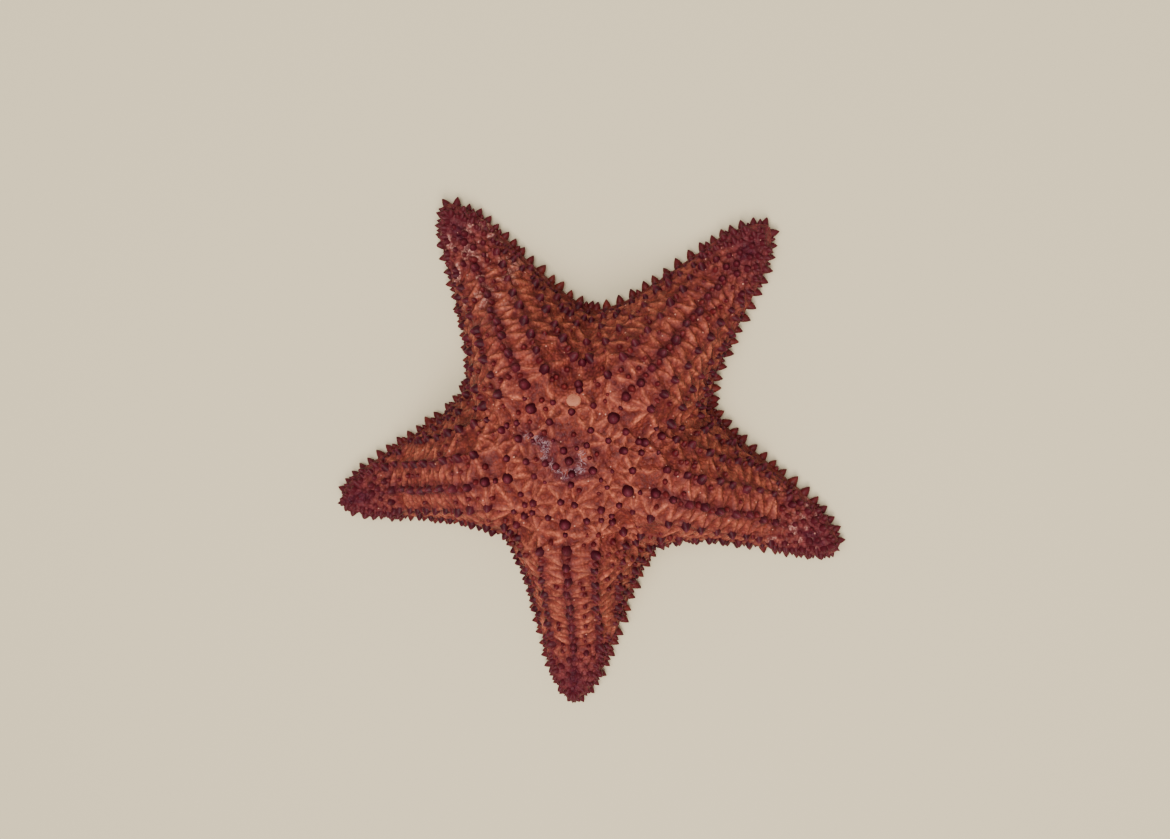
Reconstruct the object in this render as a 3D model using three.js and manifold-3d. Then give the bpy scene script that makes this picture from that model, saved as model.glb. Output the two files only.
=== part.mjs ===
// A cushion sea star resting flat on its mouth side: a high inflated disc, five tapering arms with
// a keel along each, rows of blunt spines, short spines round the margin, a sieve plate on the back
// and, underneath, a mouth with a groove running out along every arm.
//
// Units are millimetres and +Z is up. The shape is first worked out on a regular star, whose arms
// stand 72 degrees apart, and is then bent to this animal's own pose: the bearing, length and
// sideways bend of each arm. On the regular star, x runs out along an arm and y across it.

import * as THREE from 'three';
import { mergeVertices } from 'three/addons/utils/BufferGeometryUtils.js';
import Module from 'manifold-3d';

const wasm = await Module();
wasm.setup();
const { Manifold, Mesh: SolidMesh } = wasm;

// ---- Driving dimensions ----------------------------------------------------------------------

const ARM_REACH = 125; // centre of the disc to the end of an arm
const DISC_TOP = 54.3; // height of the back over the middle of the disc
const KEEL_END = 8; // height that the keel runs down to at the end of an arm
const KEEL_FALL_AT = 75; // distance out where the keel is half way down
const KEEL_FALL_LENGTH = 13.5; // how gradually the keel comes down
const MARGIN_HEIGHT = 6; // height of the upper edge of the margin
const MARGIN_BULGE = 0.8; // how far the margin swells outward between its two edges
const SOLE_INSET = 1.4; // how far the sole's edge lies inside the margin
const CENTRE_HALF_WIDTH = 42.4; // half the arm's width, carried back to the centre of the disc
const ARM_TAPER = 0.28; // half width lost for each millimetre along the arm
const WEB_WIDTH = 9; // extra half width in the webs between the arms
const WEB_EDGE = 50.5; // distance out where the web fades
const WEB_SOFTNESS = 4.6;
const TIP_START = 106; // distance out where the arm's end begins to round off
const FLANK_FULLNESS = 2.5; // power of the arm's section: higher is fuller at the shoulders
const ARM_BLEND = 5; // height difference over which neighbouring arms merge on the disc

// Each arm's bearing, its length against ARM_REACH, and the sideways bend at its end.
const ARMS = [
  { name: 'arm_1', bearing: 118.9, length: 0.968, bend: 2.1 },
  { name: 'arm_2', bearing: 49.5, length: 1.002, bend: 0.2 },
  { name: 'arm_3', bearing: -18.3, length: 0.991, bend: -10.3 },
  { name: 'arm_4', bearing: -92.5, length: 1.016, bend: -1.6 },
  { name: 'arm_5', bearing: -166.0, length: 0.961, bend: 3.5 },
];
const FIRST_BEARING = 126; // bearing of the first arm on the regular star
const SECTOR = 72;
const BEND_START = 30; // an arm bends only beyond this distance

const ARM_ROOT = 52; // where an arm is parted from the disc
const PART_GAP = 0.3;

const GROOVE_START = 9;
const GROOVE_END = 116;
const GROOVE_HALF_WIDTH = 2.6;
const GROOVE_TIP_HALF_WIDTH = 1.4;
const GROOVE_DEPTH = 3.2;
const MOUTH_RADIUS = 8;
const MOUTH_DEPTH = 6;
const SIEVE_RADIUS = 3.3; // the madreporite
const SIEVE_OUT = 22.2; // where it lies beside the first arm
const SIEVE_ACROSS = 15.2;
const SIEVE_SINK = 1.6;

// The spine rows on each side of the keel: their distance from it over the skin, the size of their
// spines and how many sides a spine has.
const ROWS = [
  { arc: 11.6, size: 1, sides: 4 },
  { arc: 26, size: 0.9, sides: 3 },
];
const PRIMARY_AT = 27.8; // the five great tubercles that stand at the corners of the disc
const SPINE_SINK = 1.2;
const MARGIN_SPINE_STEP = 7.2;
const MARGIN_SPINE_LEVEL = 2.8;

const TOP_STEPS_IN = 5; // mesh stations from the centre out to the web
const TOP_STEPS_OUT = 10; // and from there to the end of the arm
const TOP_STEPS_ACROSS = 5;

// ---- The regular star --------------------------------------------------------------------------

const radians = THREE.MathUtils.degToRad;
const clamp01 = (t) => Math.min(Math.max(t, 0), 1);
const smooth = (t) => clamp01(t) ** 2 * (3 - 2 * clamp01(t));
const HALF_SECTOR_SLOPE = Math.tan(radians(SECTOR / 2));

// A repeatable number from 0 to 1 for the things counted by a, b and c.
function scatter(a, b, c) {
  const value = Math.sin(a * 12.9898 + b * 78.233 + c * 37.719) * 43758.5453;
  return value - Math.floor(value);
}

function keelHeight(x) {
  return KEEL_END + (DISC_TOP - KEEL_END) / (1 + Math.exp((x - KEEL_FALL_AT) / KEEL_FALL_LENGTH));
}

function halfWidth(x) {
  const web = WEB_WIDTH / (1 + Math.exp((x - WEB_EDGE) / WEB_SOFTNESS));
  const tip = clamp01((x - TIP_START) / (ARM_REACH - TIP_START));
  return (CENTRE_HALF_WIDTH - ARM_TAPER * x + web) * Math.sqrt(1 - tip * tip);
}

// The height of one arm's back, were it alone.
function armHeight(x, y) {
  const out = Math.max(x, 0);
  const aside = x < 0 ? Math.hypot(x, y) : Math.abs(y);
  const across = aside / Math.max(halfWidth(out), 1e-3);
  return MARGIN_HEIGHT + (keelHeight(out) - MARGIN_HEIGHT) * (1 - across ** FLANK_FULLNESS);
}

// The height of the back at a point of the first arm's sector: the arms merge where they meet.
function backHeight(x, y) {
  const heights = ARMS.map((arm, k) => {
    const turn = radians(SECTOR * k);
    return armHeight(
      x * Math.cos(turn) + y * Math.sin(turn),
      y * Math.cos(turn) - x * Math.sin(turn),
    );
  });
  const highest = Math.max(...heights);
  let total = 0;
  let weights = 0;
  for (const height of heights) {
    const weight = Math.exp((height - highest) / ARM_BLEND);
    total += weight * height;
    weights += weight;
  }
  return total / weights;
}

// Half the width of the body at x, up to the margin or to the line between two arms.
function edgeAt(x) {
  if (x >= ARM_REACH) return 0;
  let inside = 0;
  let outside = x * HALF_SECTOR_SLOPE;
  if (backHeight(x, outside) > MARGIN_HEIGHT) return outside;
  for (let i = 0; i < 40; i += 1) {
    const middle = (inside + outside) / 2;
    if (backHeight(x, middle) > MARGIN_HEIGHT) inside = middle;
    else outside = middle;
  }
  return inside;
}

// The distance out at which two neighbouring margins meet.
function findWebCorner() {
  let inside = 20;
  let outside = 70;
  for (let i = 0; i < 40; i += 1) {
    const middle = (inside + outside) / 2;
    if (backHeight(middle, middle * HALF_SECTOR_SLOPE) > MARGIN_HEIGHT) inside = middle;
    else outside = middle;
  }
  return inside;
}
const WEB_CORNER = findWebCorner();

// The y of a point that lies at an arc's length from the keel, measured over the skin, or null.
function acrossBy(x, arc) {
  const edge = edgeAt(x);
  const steps = 60;
  let travelled = 0;
  let height = backHeight(x, 0);
  for (let i = 1; i <= steps; i += 1) {
    const next = backHeight(x, (edge * i) / steps);
    const stride = Math.hypot(edge / steps, next - height);
    if (travelled + stride >= arc) return (edge * (i - 1 + (arc - travelled) / stride)) / steps;
    travelled += stride;
    height = next;
  }
  return null;
}

// ---- This animal's pose ------------------------------------------------------------------------

// A point of the sector of arm k on the regular star, moved to its place in the pose.
function pose(k, x, y, z) {
  const reach = Math.hypot(x, y);
  const turn = Math.atan2(y, x) / radians(SECTOR); // in sectors, from this arm's own line
  const other = (k + (turn < 0 ? 1 : ARMS.length - 1)) % ARMS.length;
  const share = smooth(Math.abs(turn));
  const lean = (index) => {
    const away = ARMS[index].bearing - (FIRST_BEARING - SECTOR * index);
    return radians(away);
  };
  const bearing =
    radians(FIRST_BEARING - SECTOR * k + SECTOR * turn) +
    lean(k) * (1 - share) +
    lean(other) * share;
  const length = ARMS[k].length * (1 - share) + ARMS[other].length * share;
  const far = reach * (1 + (length - 1) * smooth((reach - 30) / 60));
  const point = new THREE.Vector3(far * Math.cos(bearing), far * Math.sin(bearing), z);
  const along = turn < 0 ? turn + 1 : turn - 1;
  const parts = [
    [k, turn, 1 - share],
    [other, along, share],
  ];
  for (const [index, sectors, weight] of parts) {
    const outward = reach * Math.cos(radians(SECTOR) * sectors);
    const bent = Math.max((outward - BEND_START) / (ARM_REACH - BEND_START), 0);
    const shift = ARMS[index].bend * bent * bent * weight;
    point.x -= shift * Math.sin(radians(ARMS[index].bearing));
    point.y += shift * Math.cos(radians(ARMS[index].bearing));
  }
  return point;
}

// A point on the back of arm k, and the way its skin faces.
function onBack(k, x, y) {
  const step = 0.5;
  const point = pose(k, x, y, backHeight(x, y));
  const ahead = pose(k, x + step, y, backHeight(x + step, y)).sub(point);
  const aside = pose(k, x, y + step, backHeight(x, y + step)).sub(point);
  return { point, normal: ahead.cross(aside).normalize() };
}

// ---- Solids ------------------------------------------------------------------------------------

function toSolid(geometry) {
  const plain = geometry.clone();
  plain.deleteAttribute('normal');
  plain.deleteAttribute('uv');
  const welded = mergeVertices(plain, 1e-3);
  return new Manifold(
    new SolidMesh({
      numProp: 3,
      vertProperties: Float32Array.from(welded.attributes.position.array),
      triVerts: Uint32Array.from(welded.index.array),
    }),
  );
}

function toMesh(name, solid, material) {
  const { numProp, vertProperties, triVerts } = solid.getMesh();
  const positions = new Float32Array((vertProperties.length / numProp) * 3);
  for (let i = 0; i < positions.length / 3; i += 1) {
    positions.set(vertProperties.subarray(i * numProp, i * numProp + 3), i * 3);
  }
  const geometry = new THREE.BufferGeometry();
  geometry.setAttribute('position', new THREE.BufferAttribute(positions, 3));
  geometry.setIndex(new THREE.BufferAttribute(triVerts, 1));
  geometry.computeVertexNormals();
  const mesh = new THREE.Mesh(geometry, material);
  mesh.name = name;
  return mesh;
}

// The skin of the whole animal, as one closed faceted body.
function bodySolid() {
  const corners = [];
  const triangle = (a, b, c) => {
    const area = new THREE.Vector3().subVectors(b, a).cross(new THREE.Vector3().subVectors(c, a));
    if (area.length() > 1e-4) corners.push(...a.toArray(), ...b.toArray(), ...c.toArray());
  };
  const quad = (a, b, c, d, flipped) => {
    if (flipped) {
      triangle(a, c, b);
      triangle(a, d, c);
    } else {
      triangle(a, b, c);
      triangle(a, c, d);
    }
  };
  const stations = [];
  for (let i = 0; i < TOP_STEPS_IN; i += 1) stations.push((WEB_CORNER * i) / TOP_STEPS_IN);
  for (let i = 0; i <= TOP_STEPS_OUT; i += 1) {
    const share = Math.sin((Math.PI / 2) * (i / TOP_STEPS_OUT));
    stations.push(WEB_CORNER + (ARM_REACH - WEB_CORNER) * share);
  }
  const edges = stations.map((x) => edgeAt(x));
  const margin = marginLine(stations.slice(TOP_STEPS_IN));
  ARMS.forEach((arm, k) => {
    for (const side of [1, -1]) {
      const flipped = side < 0;
      const top = stations.map((x, i) => {
        const line = [];
        for (let j = 0; j <= TOP_STEPS_ACROSS; j += 1) {
          const y = (edges[i] * j) / TOP_STEPS_ACROSS;
          const z = i === stations.length - 1 ? MARGIN_HEIGHT : backHeight(x, y);
          line.push(pose(k, x, side * y, z));
        }
        return line;
      });
      for (let i = 0; i + 1 < top.length; i += 1) {
        for (let j = 0; j < TOP_STEPS_ACROSS; j += 1) {
          quad(top[i][j], top[i + 1][j], top[i + 1][j + 1], top[i][j + 1], flipped);
        }
      }
      // The end of the keel drops to the margin in the last station, so its line closes there.
      const ring = margin.map(({ x, y, nx, ny }) => [
        pose(k, x, side * y, MARGIN_HEIGHT),
        pose(k, x + nx * MARGIN_BULGE, side * (y + ny * MARGIN_BULGE), MARGIN_HEIGHT / 2),
        pose(k, x - nx * SOLE_INSET, side * Math.max(y - ny * SOLE_INSET, 0), 0),
      ]);
      for (let i = 0; i + 1 < ring.length; i += 1) {
        for (let j = 0; j < 2; j += 1) {
          quad(ring[i][j], ring[i + 1][j], ring[i + 1][j + 1], ring[i][j + 1], flipped);
        }
      }
      const centre = pose(k, 0, 0, 0);
      for (let i = 0; i + 1 < ring.length; i += 1) {
        const near = pose(k, margin[i].x - margin[i].nx * SOLE_INSET, 0, 0);
        const far = pose(k, margin[i + 1].x - margin[i + 1].nx * SOLE_INSET, 0, 0);
        if (i === 0) quad(centre, ring[0][2], near, near, flipped);
        quad(near, ring[i][2], ring[i + 1][2], far, flipped);
      }
    }
  });
  const geometry = new THREE.BufferGeometry();
  geometry.setAttribute('position', new THREE.Float32BufferAttribute(corners, 3));
  return toSolid(geometry);
}

// The margin of one side of an arm from the web to the arm's end, with its outward direction.
function marginLine(stations) {
  const points = stations.map((x) => ({ x, y: edgeAt(x) }));
  return points.map((point, i) => {
    if (i === 0) {
      return { ...point, nx: Math.cos(radians(SECTOR / 2)), ny: Math.sin(radians(SECTOR / 2)) };
    }
    if (i === points.length - 1) return { ...point, nx: 1, ny: 0 };
    const dx = points[i + 1].x - points[i - 1].x;
    const dy = points[i + 1].y - points[i - 1].y;
    const length = Math.hypot(dx, dy);
    return { ...point, nx: -dy / length, ny: dx / length };
  });
}

function spine(point, direction, radius, height, sides) {
  const cone = new THREE.ConeGeometry(radius, height + SPINE_SINK, sides);
  const turn = new THREE.Quaternion().setFromUnitVectors(new THREE.Vector3(0, 1, 0), direction);
  cone.applyQuaternion(turn);
  const middle = (height + SPINE_SINK) / 2 - SPINE_SINK;
  cone.translate(...point.clone().addScaledVector(direction, middle).toArray());
  return toSolid(cone);
}

// ---- Spines ------------------------------------------------------------------------------------

// Distances out along an arm at which its rows carry a spine: wide apart on the disc, then closer.
function rowStations() {
  const stations = [];
  for (let x = PRIMARY_AT; x < ARM_REACH - 6; x += 6.4 + 4.2 * Math.exp((PRIMARY_AT - x) / 12)) {
    stations.push(x);
  }
  return stations;
}

function rowSpines() {
  const solids = [];
  const stations = rowStations();
  ARMS.forEach((arm, k) => {
    stations.forEach((x, i) => {
      const size = i === 0 ? 1 : 0.62 - 0.1 * (i % 2) - 0.001 * x;
      const { point, normal } = onBack(k, x, scatter(k, i, 0) - 0.5);
      solids.push(spine(point, normal, 3.3 * size, 5 * size, i === 0 ? 6 : 4));
    });
    ROWS.forEach(({ arc, size, sides }, row) => {
      for (const side of [1, -1]) {
        stations.forEach((station, i) => {
          const x = station + 1.6 * (scatter(k, i, row + side * 4) - 0.5);
          const y = acrossBy(x, arc + 1.2 * (scatter(k, i, row + side * 7) - 0.5));
          if (y === null || y > x * HALF_SECTOR_SLOPE - 1.5) return;
          const { point, normal } = onBack(k, x, side * y);
          const scale = size - 0.002 * x;
          solids.push(spine(point, normal, 1.8 * scale, 2.9 * scale, sides));
        });
      }
    });
  });
  return solids;
}

// Short spines that stand out round the margin.
function marginSpines() {
  const solids = [];
  const steps = 60;
  const fine = [];
  for (let i = 0; i <= steps; i += 1) {
    const share = Math.sin((Math.PI / 2) * (i / steps));
    fine.push(WEB_CORNER + (ARM_REACH - WEB_CORNER) * share);
  }
  const line = marginLine(fine);
  ARMS.forEach((arm, k) => {
    for (const side of [1, -1]) {
      let travelled = 0;
      let due = side > 0 ? 0 : MARGIN_SPINE_STEP;
      line.forEach(({ x, y, nx, ny }, i) => {
        if (i > 0) travelled += Math.hypot(x - line[i - 1].x, y - line[i - 1].y);
        if (travelled < due) return;
        due += MARGIN_SPINE_STEP * (x > TIP_START ? 0.75 : 1);
        const foot = pose(k, x, side * y, MARGIN_SPINE_LEVEL);
        const tip = pose(k, x + nx, side * (y + ny), MARGIN_SPINE_LEVEL);
        const out = tip.sub(foot).normalize();
        const raised = out.clone().add(new THREE.Vector3(0, 0, 0.12)).normalize();
        solids.push(spine(foot.addScaledVector(out, 0.5), raised, 1.6, 3.9, 3));
      });
    }
  });
  return solids;
}

// Rings of tubercles inside the corners of the disc, between them and round its middle.
function discSpines() {
  const rings = [
    { distance: 10, count: 5, turn: 36, radius: 1.7, height: 2.7 },
    { distance: 18, count: 5, turn: 0, radius: 1.7, height: 2.6 },
    { distance: 27, count: 5, turn: 18, radius: 1.6, height: 2.4 },
    { distance: 27, count: 5, turn: -18, radius: 1.6, height: 2.4 },
  ];
  return rings.flatMap(({ distance, count, turn, radius, height }, ring) =>
    Array.from({ length: count }, (_, i) => {
      const reach = distance + 1.5 * (scatter(ring, i, 1) - 0.5);
      const angle = radians(turn + (360 / count) * i + 8 * (scatter(ring, i, 2) - 0.5));
      const sectors = angle / radians(SECTOR);
      const k = Math.round(sectors);
      const own = angle - radians(SECTOR) * k;
      const arm = (((ARMS.length - k) % ARMS.length) + ARMS.length) % ARMS.length;
      const place = onBack(arm, reach * Math.cos(own), reach * Math.sin(own));
      return spine(place.point, place.normal, radius, height, 4);
    }),
  );
}

// ---- Underside ---------------------------------------------------------------------------------

function grooveSolid(k) {
  const steps = 8;
  const rim = [];
  for (const side of [1, -1]) {
    for (let i = 0; i <= steps; i += 1) {
      const share = side > 0 ? i / steps : 1 - i / steps;
      const x = GROOVE_START + (GROOVE_END - GROOVE_START) * share;
      const half = GROOVE_HALF_WIDTH + (GROOVE_TIP_HALF_WIDTH - GROOVE_HALF_WIDTH) * share;
      const point = pose(k, x, -side * half, 0);
      rim.push(new THREE.Vector2(point.x, point.y));
    }
  }
  const depth = GROOVE_DEPTH + 1;
  const bar = new THREE.ExtrudeGeometry(new THREE.Shape(rim), { depth, bevelEnabled: false });
  bar.translate(0, 0, -1);
  return toSolid(bar);
}

function roundPocket(radius, depth, segments) {
  const pocket = new THREE.CylinderGeometry(radius, radius, depth + 1, segments);
  pocket.rotateX(Math.PI / 2);
  pocket.translate(0, 0, (depth - 1) / 2);
  return pocket;
}

// A flat membrane with five blunt jaws that close over the mouth.
function mouthSolid() {
  const radius = MOUTH_RADIUS - PART_GAP;
  const top = MOUTH_DEPTH - PART_GAP;
  const membrane = new THREE.CylinderGeometry(radius, radius, 1.4, 20);
  membrane.rotateX(Math.PI / 2);
  membrane.translate(0, 0, top - 0.7);
  let solid = toSolid(membrane);
  ARMS.forEach((arm, k) => {
    const jaw = new THREE.Shape();
    jaw.moveTo(radius - 1.2, -2.3);
    jaw.lineTo(radius - 1.2, 2.3);
    jaw.lineTo(1.4, 0.5);
    jaw.lineTo(1.4, -0.5);
    jaw.closePath();
    const body = new THREE.ExtrudeGeometry(jaw, { depth: top - 2.4, bevelEnabled: false });
    body.translate(0, 0, 1.6);
    body.rotateZ(radians(FIRST_BEARING - SECTOR * (k + 0.5)));
    solid = solid.add(toSolid(body));
  });
  return solid;
}

// ---- The sieve plate ---------------------------------------------------------------------------

function sieveFrame() {
  return onBack(0, SIEVE_OUT, -SIEVE_ACROSS);
}

function atSieve(geometry) {
  const { point, normal } = sieveFrame();
  const turn = new THREE.Quaternion().setFromUnitVectors(new THREE.Vector3(0, 0, 1), normal);
  return geometry.applyQuaternion(turn).translate(...point.toArray());
}

function sieveSolid() {
  const profile = [
    new THREE.Vector2(0, -SIEVE_SINK),
    new THREE.Vector2(SIEVE_RADIUS - 0.3, -SIEVE_SINK),
    new THREE.Vector2(SIEVE_RADIUS, -0.2),
    new THREE.Vector2(SIEVE_RADIUS - 0.5, 0.6),
    new THREE.Vector2(SIEVE_RADIUS * 0.55, 1.1),
    new THREE.Vector2(0, 1.25),
  ];
  const plate = new THREE.LatheGeometry(profile, 18);
  plate.rotateX(Math.PI / 2);
  return toSolid(atSieve(plate));
}

function sievePocket() {
  const pocket = new THREE.CylinderGeometry(
    SIEVE_RADIUS + PART_GAP,
    SIEVE_RADIUS + PART_GAP,
    SIEVE_SINK + PART_GAP + 4,
    18,
  );
  pocket.rotateX(Math.PI / 2);
  pocket.translate(0, 0, 2 - (SIEVE_SINK + PART_GAP) / 2);
  return toSolid(atSieve(pocket));
}

// ---- The whole animal --------------------------------------------------------------------------

// A block that holds all of an arm beyond a plane square to it.
function beyond(k, distance) {
  const block = new THREE.BoxGeometry(ARM_REACH, ARM_REACH, 2 * DISC_TOP + 40);
  block.translate(distance + ARM_REACH / 2, 0, 0);
  block.rotateZ(radians(ARMS[k].bearing));
  return toSolid(block);
}

// A cut can leave the tip of a spine on the wrong side of it: the piece itself is the largest body.
function largest(solid) {
  return solid.decompose().reduce((best, next) => (next.volume() > best.volume() ? next : best));
}

const paint = (color, roughness) =>
  new THREE.MeshStandardMaterial({ color, roughness, metalness: 0 });

let body = Manifold.union([bodySolid(), ...rowSpines(), ...marginSpines(), ...discSpines()]);
ARMS.forEach((arm, k) => {
  body = body.subtract(grooveSolid(k));
});
body = body.subtract(toSolid(roundPocket(MOUTH_RADIUS, MOUTH_DEPTH, 20)));
body = body.subtract(sievePocket());

const star = new THREE.Group();
star.name = 'sea_star';
let disc = body;
ARMS.forEach((arm, k) => {
  disc = disc.subtract(beyond(k, ARM_ROOT - PART_GAP / 2));
  const piece = body.intersect(beyond(k, ARM_ROOT + PART_GAP / 2));
  star.add(toMesh(arm.name, largest(piece), paint(0x9c4a30, 0.6)));
});
star.add(toMesh('disc', largest(disc), paint(0xa85532, 0.6)));
star.add(toMesh('madreporite', sieveSolid(), paint(0xb98262, 0.55)));
star.add(toMesh('mouth', mouthSolid(), paint(0xd8b48c, 0.7)));

// The origin is the middle of the space that the animal takes up, at the level it rests on.
const space = new THREE.Box3().setFromObject(star);
const middle = space.getCenter(new THREE.Vector3());
star.position.set(-middle.x, -middle.y, -space.min.z);

export default star;
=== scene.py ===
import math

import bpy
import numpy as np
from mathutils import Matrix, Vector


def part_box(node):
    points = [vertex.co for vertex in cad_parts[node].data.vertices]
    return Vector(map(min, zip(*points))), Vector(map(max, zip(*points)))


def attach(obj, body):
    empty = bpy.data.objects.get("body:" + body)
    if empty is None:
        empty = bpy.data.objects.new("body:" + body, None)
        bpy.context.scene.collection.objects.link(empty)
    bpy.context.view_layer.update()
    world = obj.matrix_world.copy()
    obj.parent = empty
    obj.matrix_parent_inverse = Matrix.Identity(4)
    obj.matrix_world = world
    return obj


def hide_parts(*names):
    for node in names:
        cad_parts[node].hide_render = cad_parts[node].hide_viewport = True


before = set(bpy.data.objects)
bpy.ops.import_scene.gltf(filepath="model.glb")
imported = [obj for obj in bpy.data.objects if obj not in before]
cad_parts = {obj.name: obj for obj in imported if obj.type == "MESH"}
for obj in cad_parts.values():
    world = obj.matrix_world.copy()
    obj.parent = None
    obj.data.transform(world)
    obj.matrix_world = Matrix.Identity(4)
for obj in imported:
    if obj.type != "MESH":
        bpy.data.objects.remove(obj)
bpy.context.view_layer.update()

# A cushion sea star at rest, mouth down. One skin covers the disc and the five arms: a net of raised
# ribs between rows of tubercles, with sunken papular fields in its meshes. The tubercles, the spines
# of the margin, the sieve plate, the mouth and the tube feet are pieces of their own on that skin.
#
# The shape is worked out in millimetres on a regular star and bent to the animal's own pose, then
# written to the meshes in metres. On the regular star x runs out along an arm and y across it.

MM = 0.001

# ---- Sizes of the body, in millimetres ----

ARM_REACH = 125.0        # centre of the disc to the end of an arm
DISC_TOP = 54.3
KEEL_END = 8.0           # height that the keel runs down to at the end of an arm
KEEL_FALL_AT = 75.0      # distance out where the keel is half way down
KEEL_FALL_LENGTH = 13.5
MARGIN_HEIGHT = 6.0
MARGIN_BULGE = 0.9
SOLE_INSET = 1.4
CENTRE_HALF_WIDTH = 42.4
ARM_TAPER = 0.28
WEB_WIDTH = 9.0
WEB_EDGE = 50.5
WEB_SOFTNESS = 4.6
TIP_START = 106.0
FLANK_FULLNESS = 2.5
ARM_BLEND = 5.0
SKIN_SINK = 0.35         # the skin's ground lies this far inside the solids, under its ribs

ARMS = range(5)
BOTH_SIDES = (1, -1)
SECTOR = math.radians(72)
HALF_SECTOR_SLOPE = math.tan(SECTOR / 2)
REGULAR = math.radians(126) - SECTOR * np.arange(5)
BEARINGS = np.radians([118.9, 49.5, -18.3, -92.5, -166.0])
LENGTHS = np.array([0.968, 1.002, 0.991, 1.016, 0.961])
BENDS = np.array([2.1, 0.2, -10.3, -1.6, 3.5])   # how far each arm's end is bent aside
BEND_START = 30.0
LENGTHEN_START = 30.0    # the arms' own lengths tell from here on
LENGTHEN_END = 90.0

GROOVE_START = 9.0
GROOVE_FADE_START = 112.0
GROOVE_END = 116.0
GROOVE_HALF_WIDTH = 2.6
GROOVE_TIP_HALF_WIDTH = 1.4
GROOVE_DEPTH = 3.2
MOUTH_RADIUS = 8.0
MOUTH_DEPTH = 6.0

# ---- Rows of tubercles ----

PRIMARY_AT = 27.8        # the five great tubercles stand here, at the corners of the disc
ROW_STEP = 6.4           # between tubercles along the outer part of an arm
ROW_WIDER = 4.2          # added to that step next to the disc
ROW_WIDER_RUN = 12.0
ROWS_END = 98.0          # beyond this the rows break up into a cluster
ROWS_START = 36.0        # the keel's small tubercles and the first side rows start here
CLOSE_ROWS = [0.40, 0.38, 0.42, 0.88, 0.45]   # on each arm, the share of half places that are filled
SIDE_ROWS = [(11.6, 1.0), (26.0, 0.97), (38.5, 0.92), (50.0, 0.86), (60.0, 0.8), (69.0, 0.75)]
DWINDLE = 0.0022         # the share of its size that a tubercle loses for each millimetre out
SIDE_DWINDLE = 0.0020
ROW_LEAN = 0.35          # how much the tubercles of the side rows lean away from the keel
ABOVE_MARGIN = 4.2       # the rows stay this far up the flank from the margin
BESIDE_CORNER = 3.2      # and this far from the line between two arms
BETWEEN_START = 62.0
BETWEEN_ARC = 5.8        # between the keel's row and the first side row
CLUSTER_STEP = 5.0       # between the tubercles of an arm's end
CORNER_START = [24.0, 33.5, 24.0, 24.0, 24.0]   # the second starts beyond the sieve plate
CORNER_ROW_STEP = 7.4    # along the line between two arms
FILL_STEP = 4.4          # between the small tubercles that fill the gaps
FILL_START = 6.0
FILLED_OUT = 62.0
FILLED_ACROSS = 12       # of those steps, to each side of the keel
FILL_LOWEST = 10.0
FILL_CLEAR = 2.7         # from the middle of a small one to the side of the next tubercle
FILL_SHARE = 0.36
LONE_PLATE = 7.2         # a gap wider than this between plates gets a plate of its own
MARGIN_SPINE_STEP = 5.9
MARGIN_SPINE_LEVEL = 2.8
SHOULDER_INWARD = 2.6    # from the edge in to the tubercles of the shoulder
FLANK_INWARD = (0.7, 1.3)   # and to those of the flank, over the long spines and between them
FLANK_LOWEST = 4.0
NEAREST_KEEL = 0.4       # none of them stands closer to the keel
END_SCALE = 0.88         # of the margin's growths at an arm's end
END_CLOSER = 0.82        # and of the steps between them
SIEVE_RADIUS = 3.3
SIEVE_OUT = 22.2         # where it lies beside the first arm
SIEVE_ACROSS = 15.2

# Radius and height of each kind at its full size.
KEEL_TUBERCLE = (2.4, 3.2)
KEEL_SMALL = (1.3, 1.8)
SIDE_TUBERCLE = (2.3, 3.3)
SIDE_SMALL = (1.45, 2.2)
BETWEEN_SMALL = (1.1, 1.7)
CORNER_TUBERCLE = (1.95, 3.0)
END_TUBERCLE = (1.5, 2.3)
FILLING_SMALL = (1.1, 1.35)
DISC_DOME = (1.0, 1.35)  # shares of the dome's own radius
GREAT_DOME = (1.0, 1.25)
GREAT_RADIUS = 2.3       # domes from this radius up are great ones
LONG_SPINE = (2.05, 4.1)
SHORT_SPINE = (1.3, 2.6)
TUBE_FOOT = (0.55, 2.2)
GROOVE_SPINE = (0.42, 1.7)

# Radius, height, lean outwards and rise over the back.
SHOULDER_TUBERCLE = (1.6, 2.8, 0.8, 0.5)
FLANK_TUBERCLE = (1.25, 1.7, 0.5, 0.35)

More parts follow.
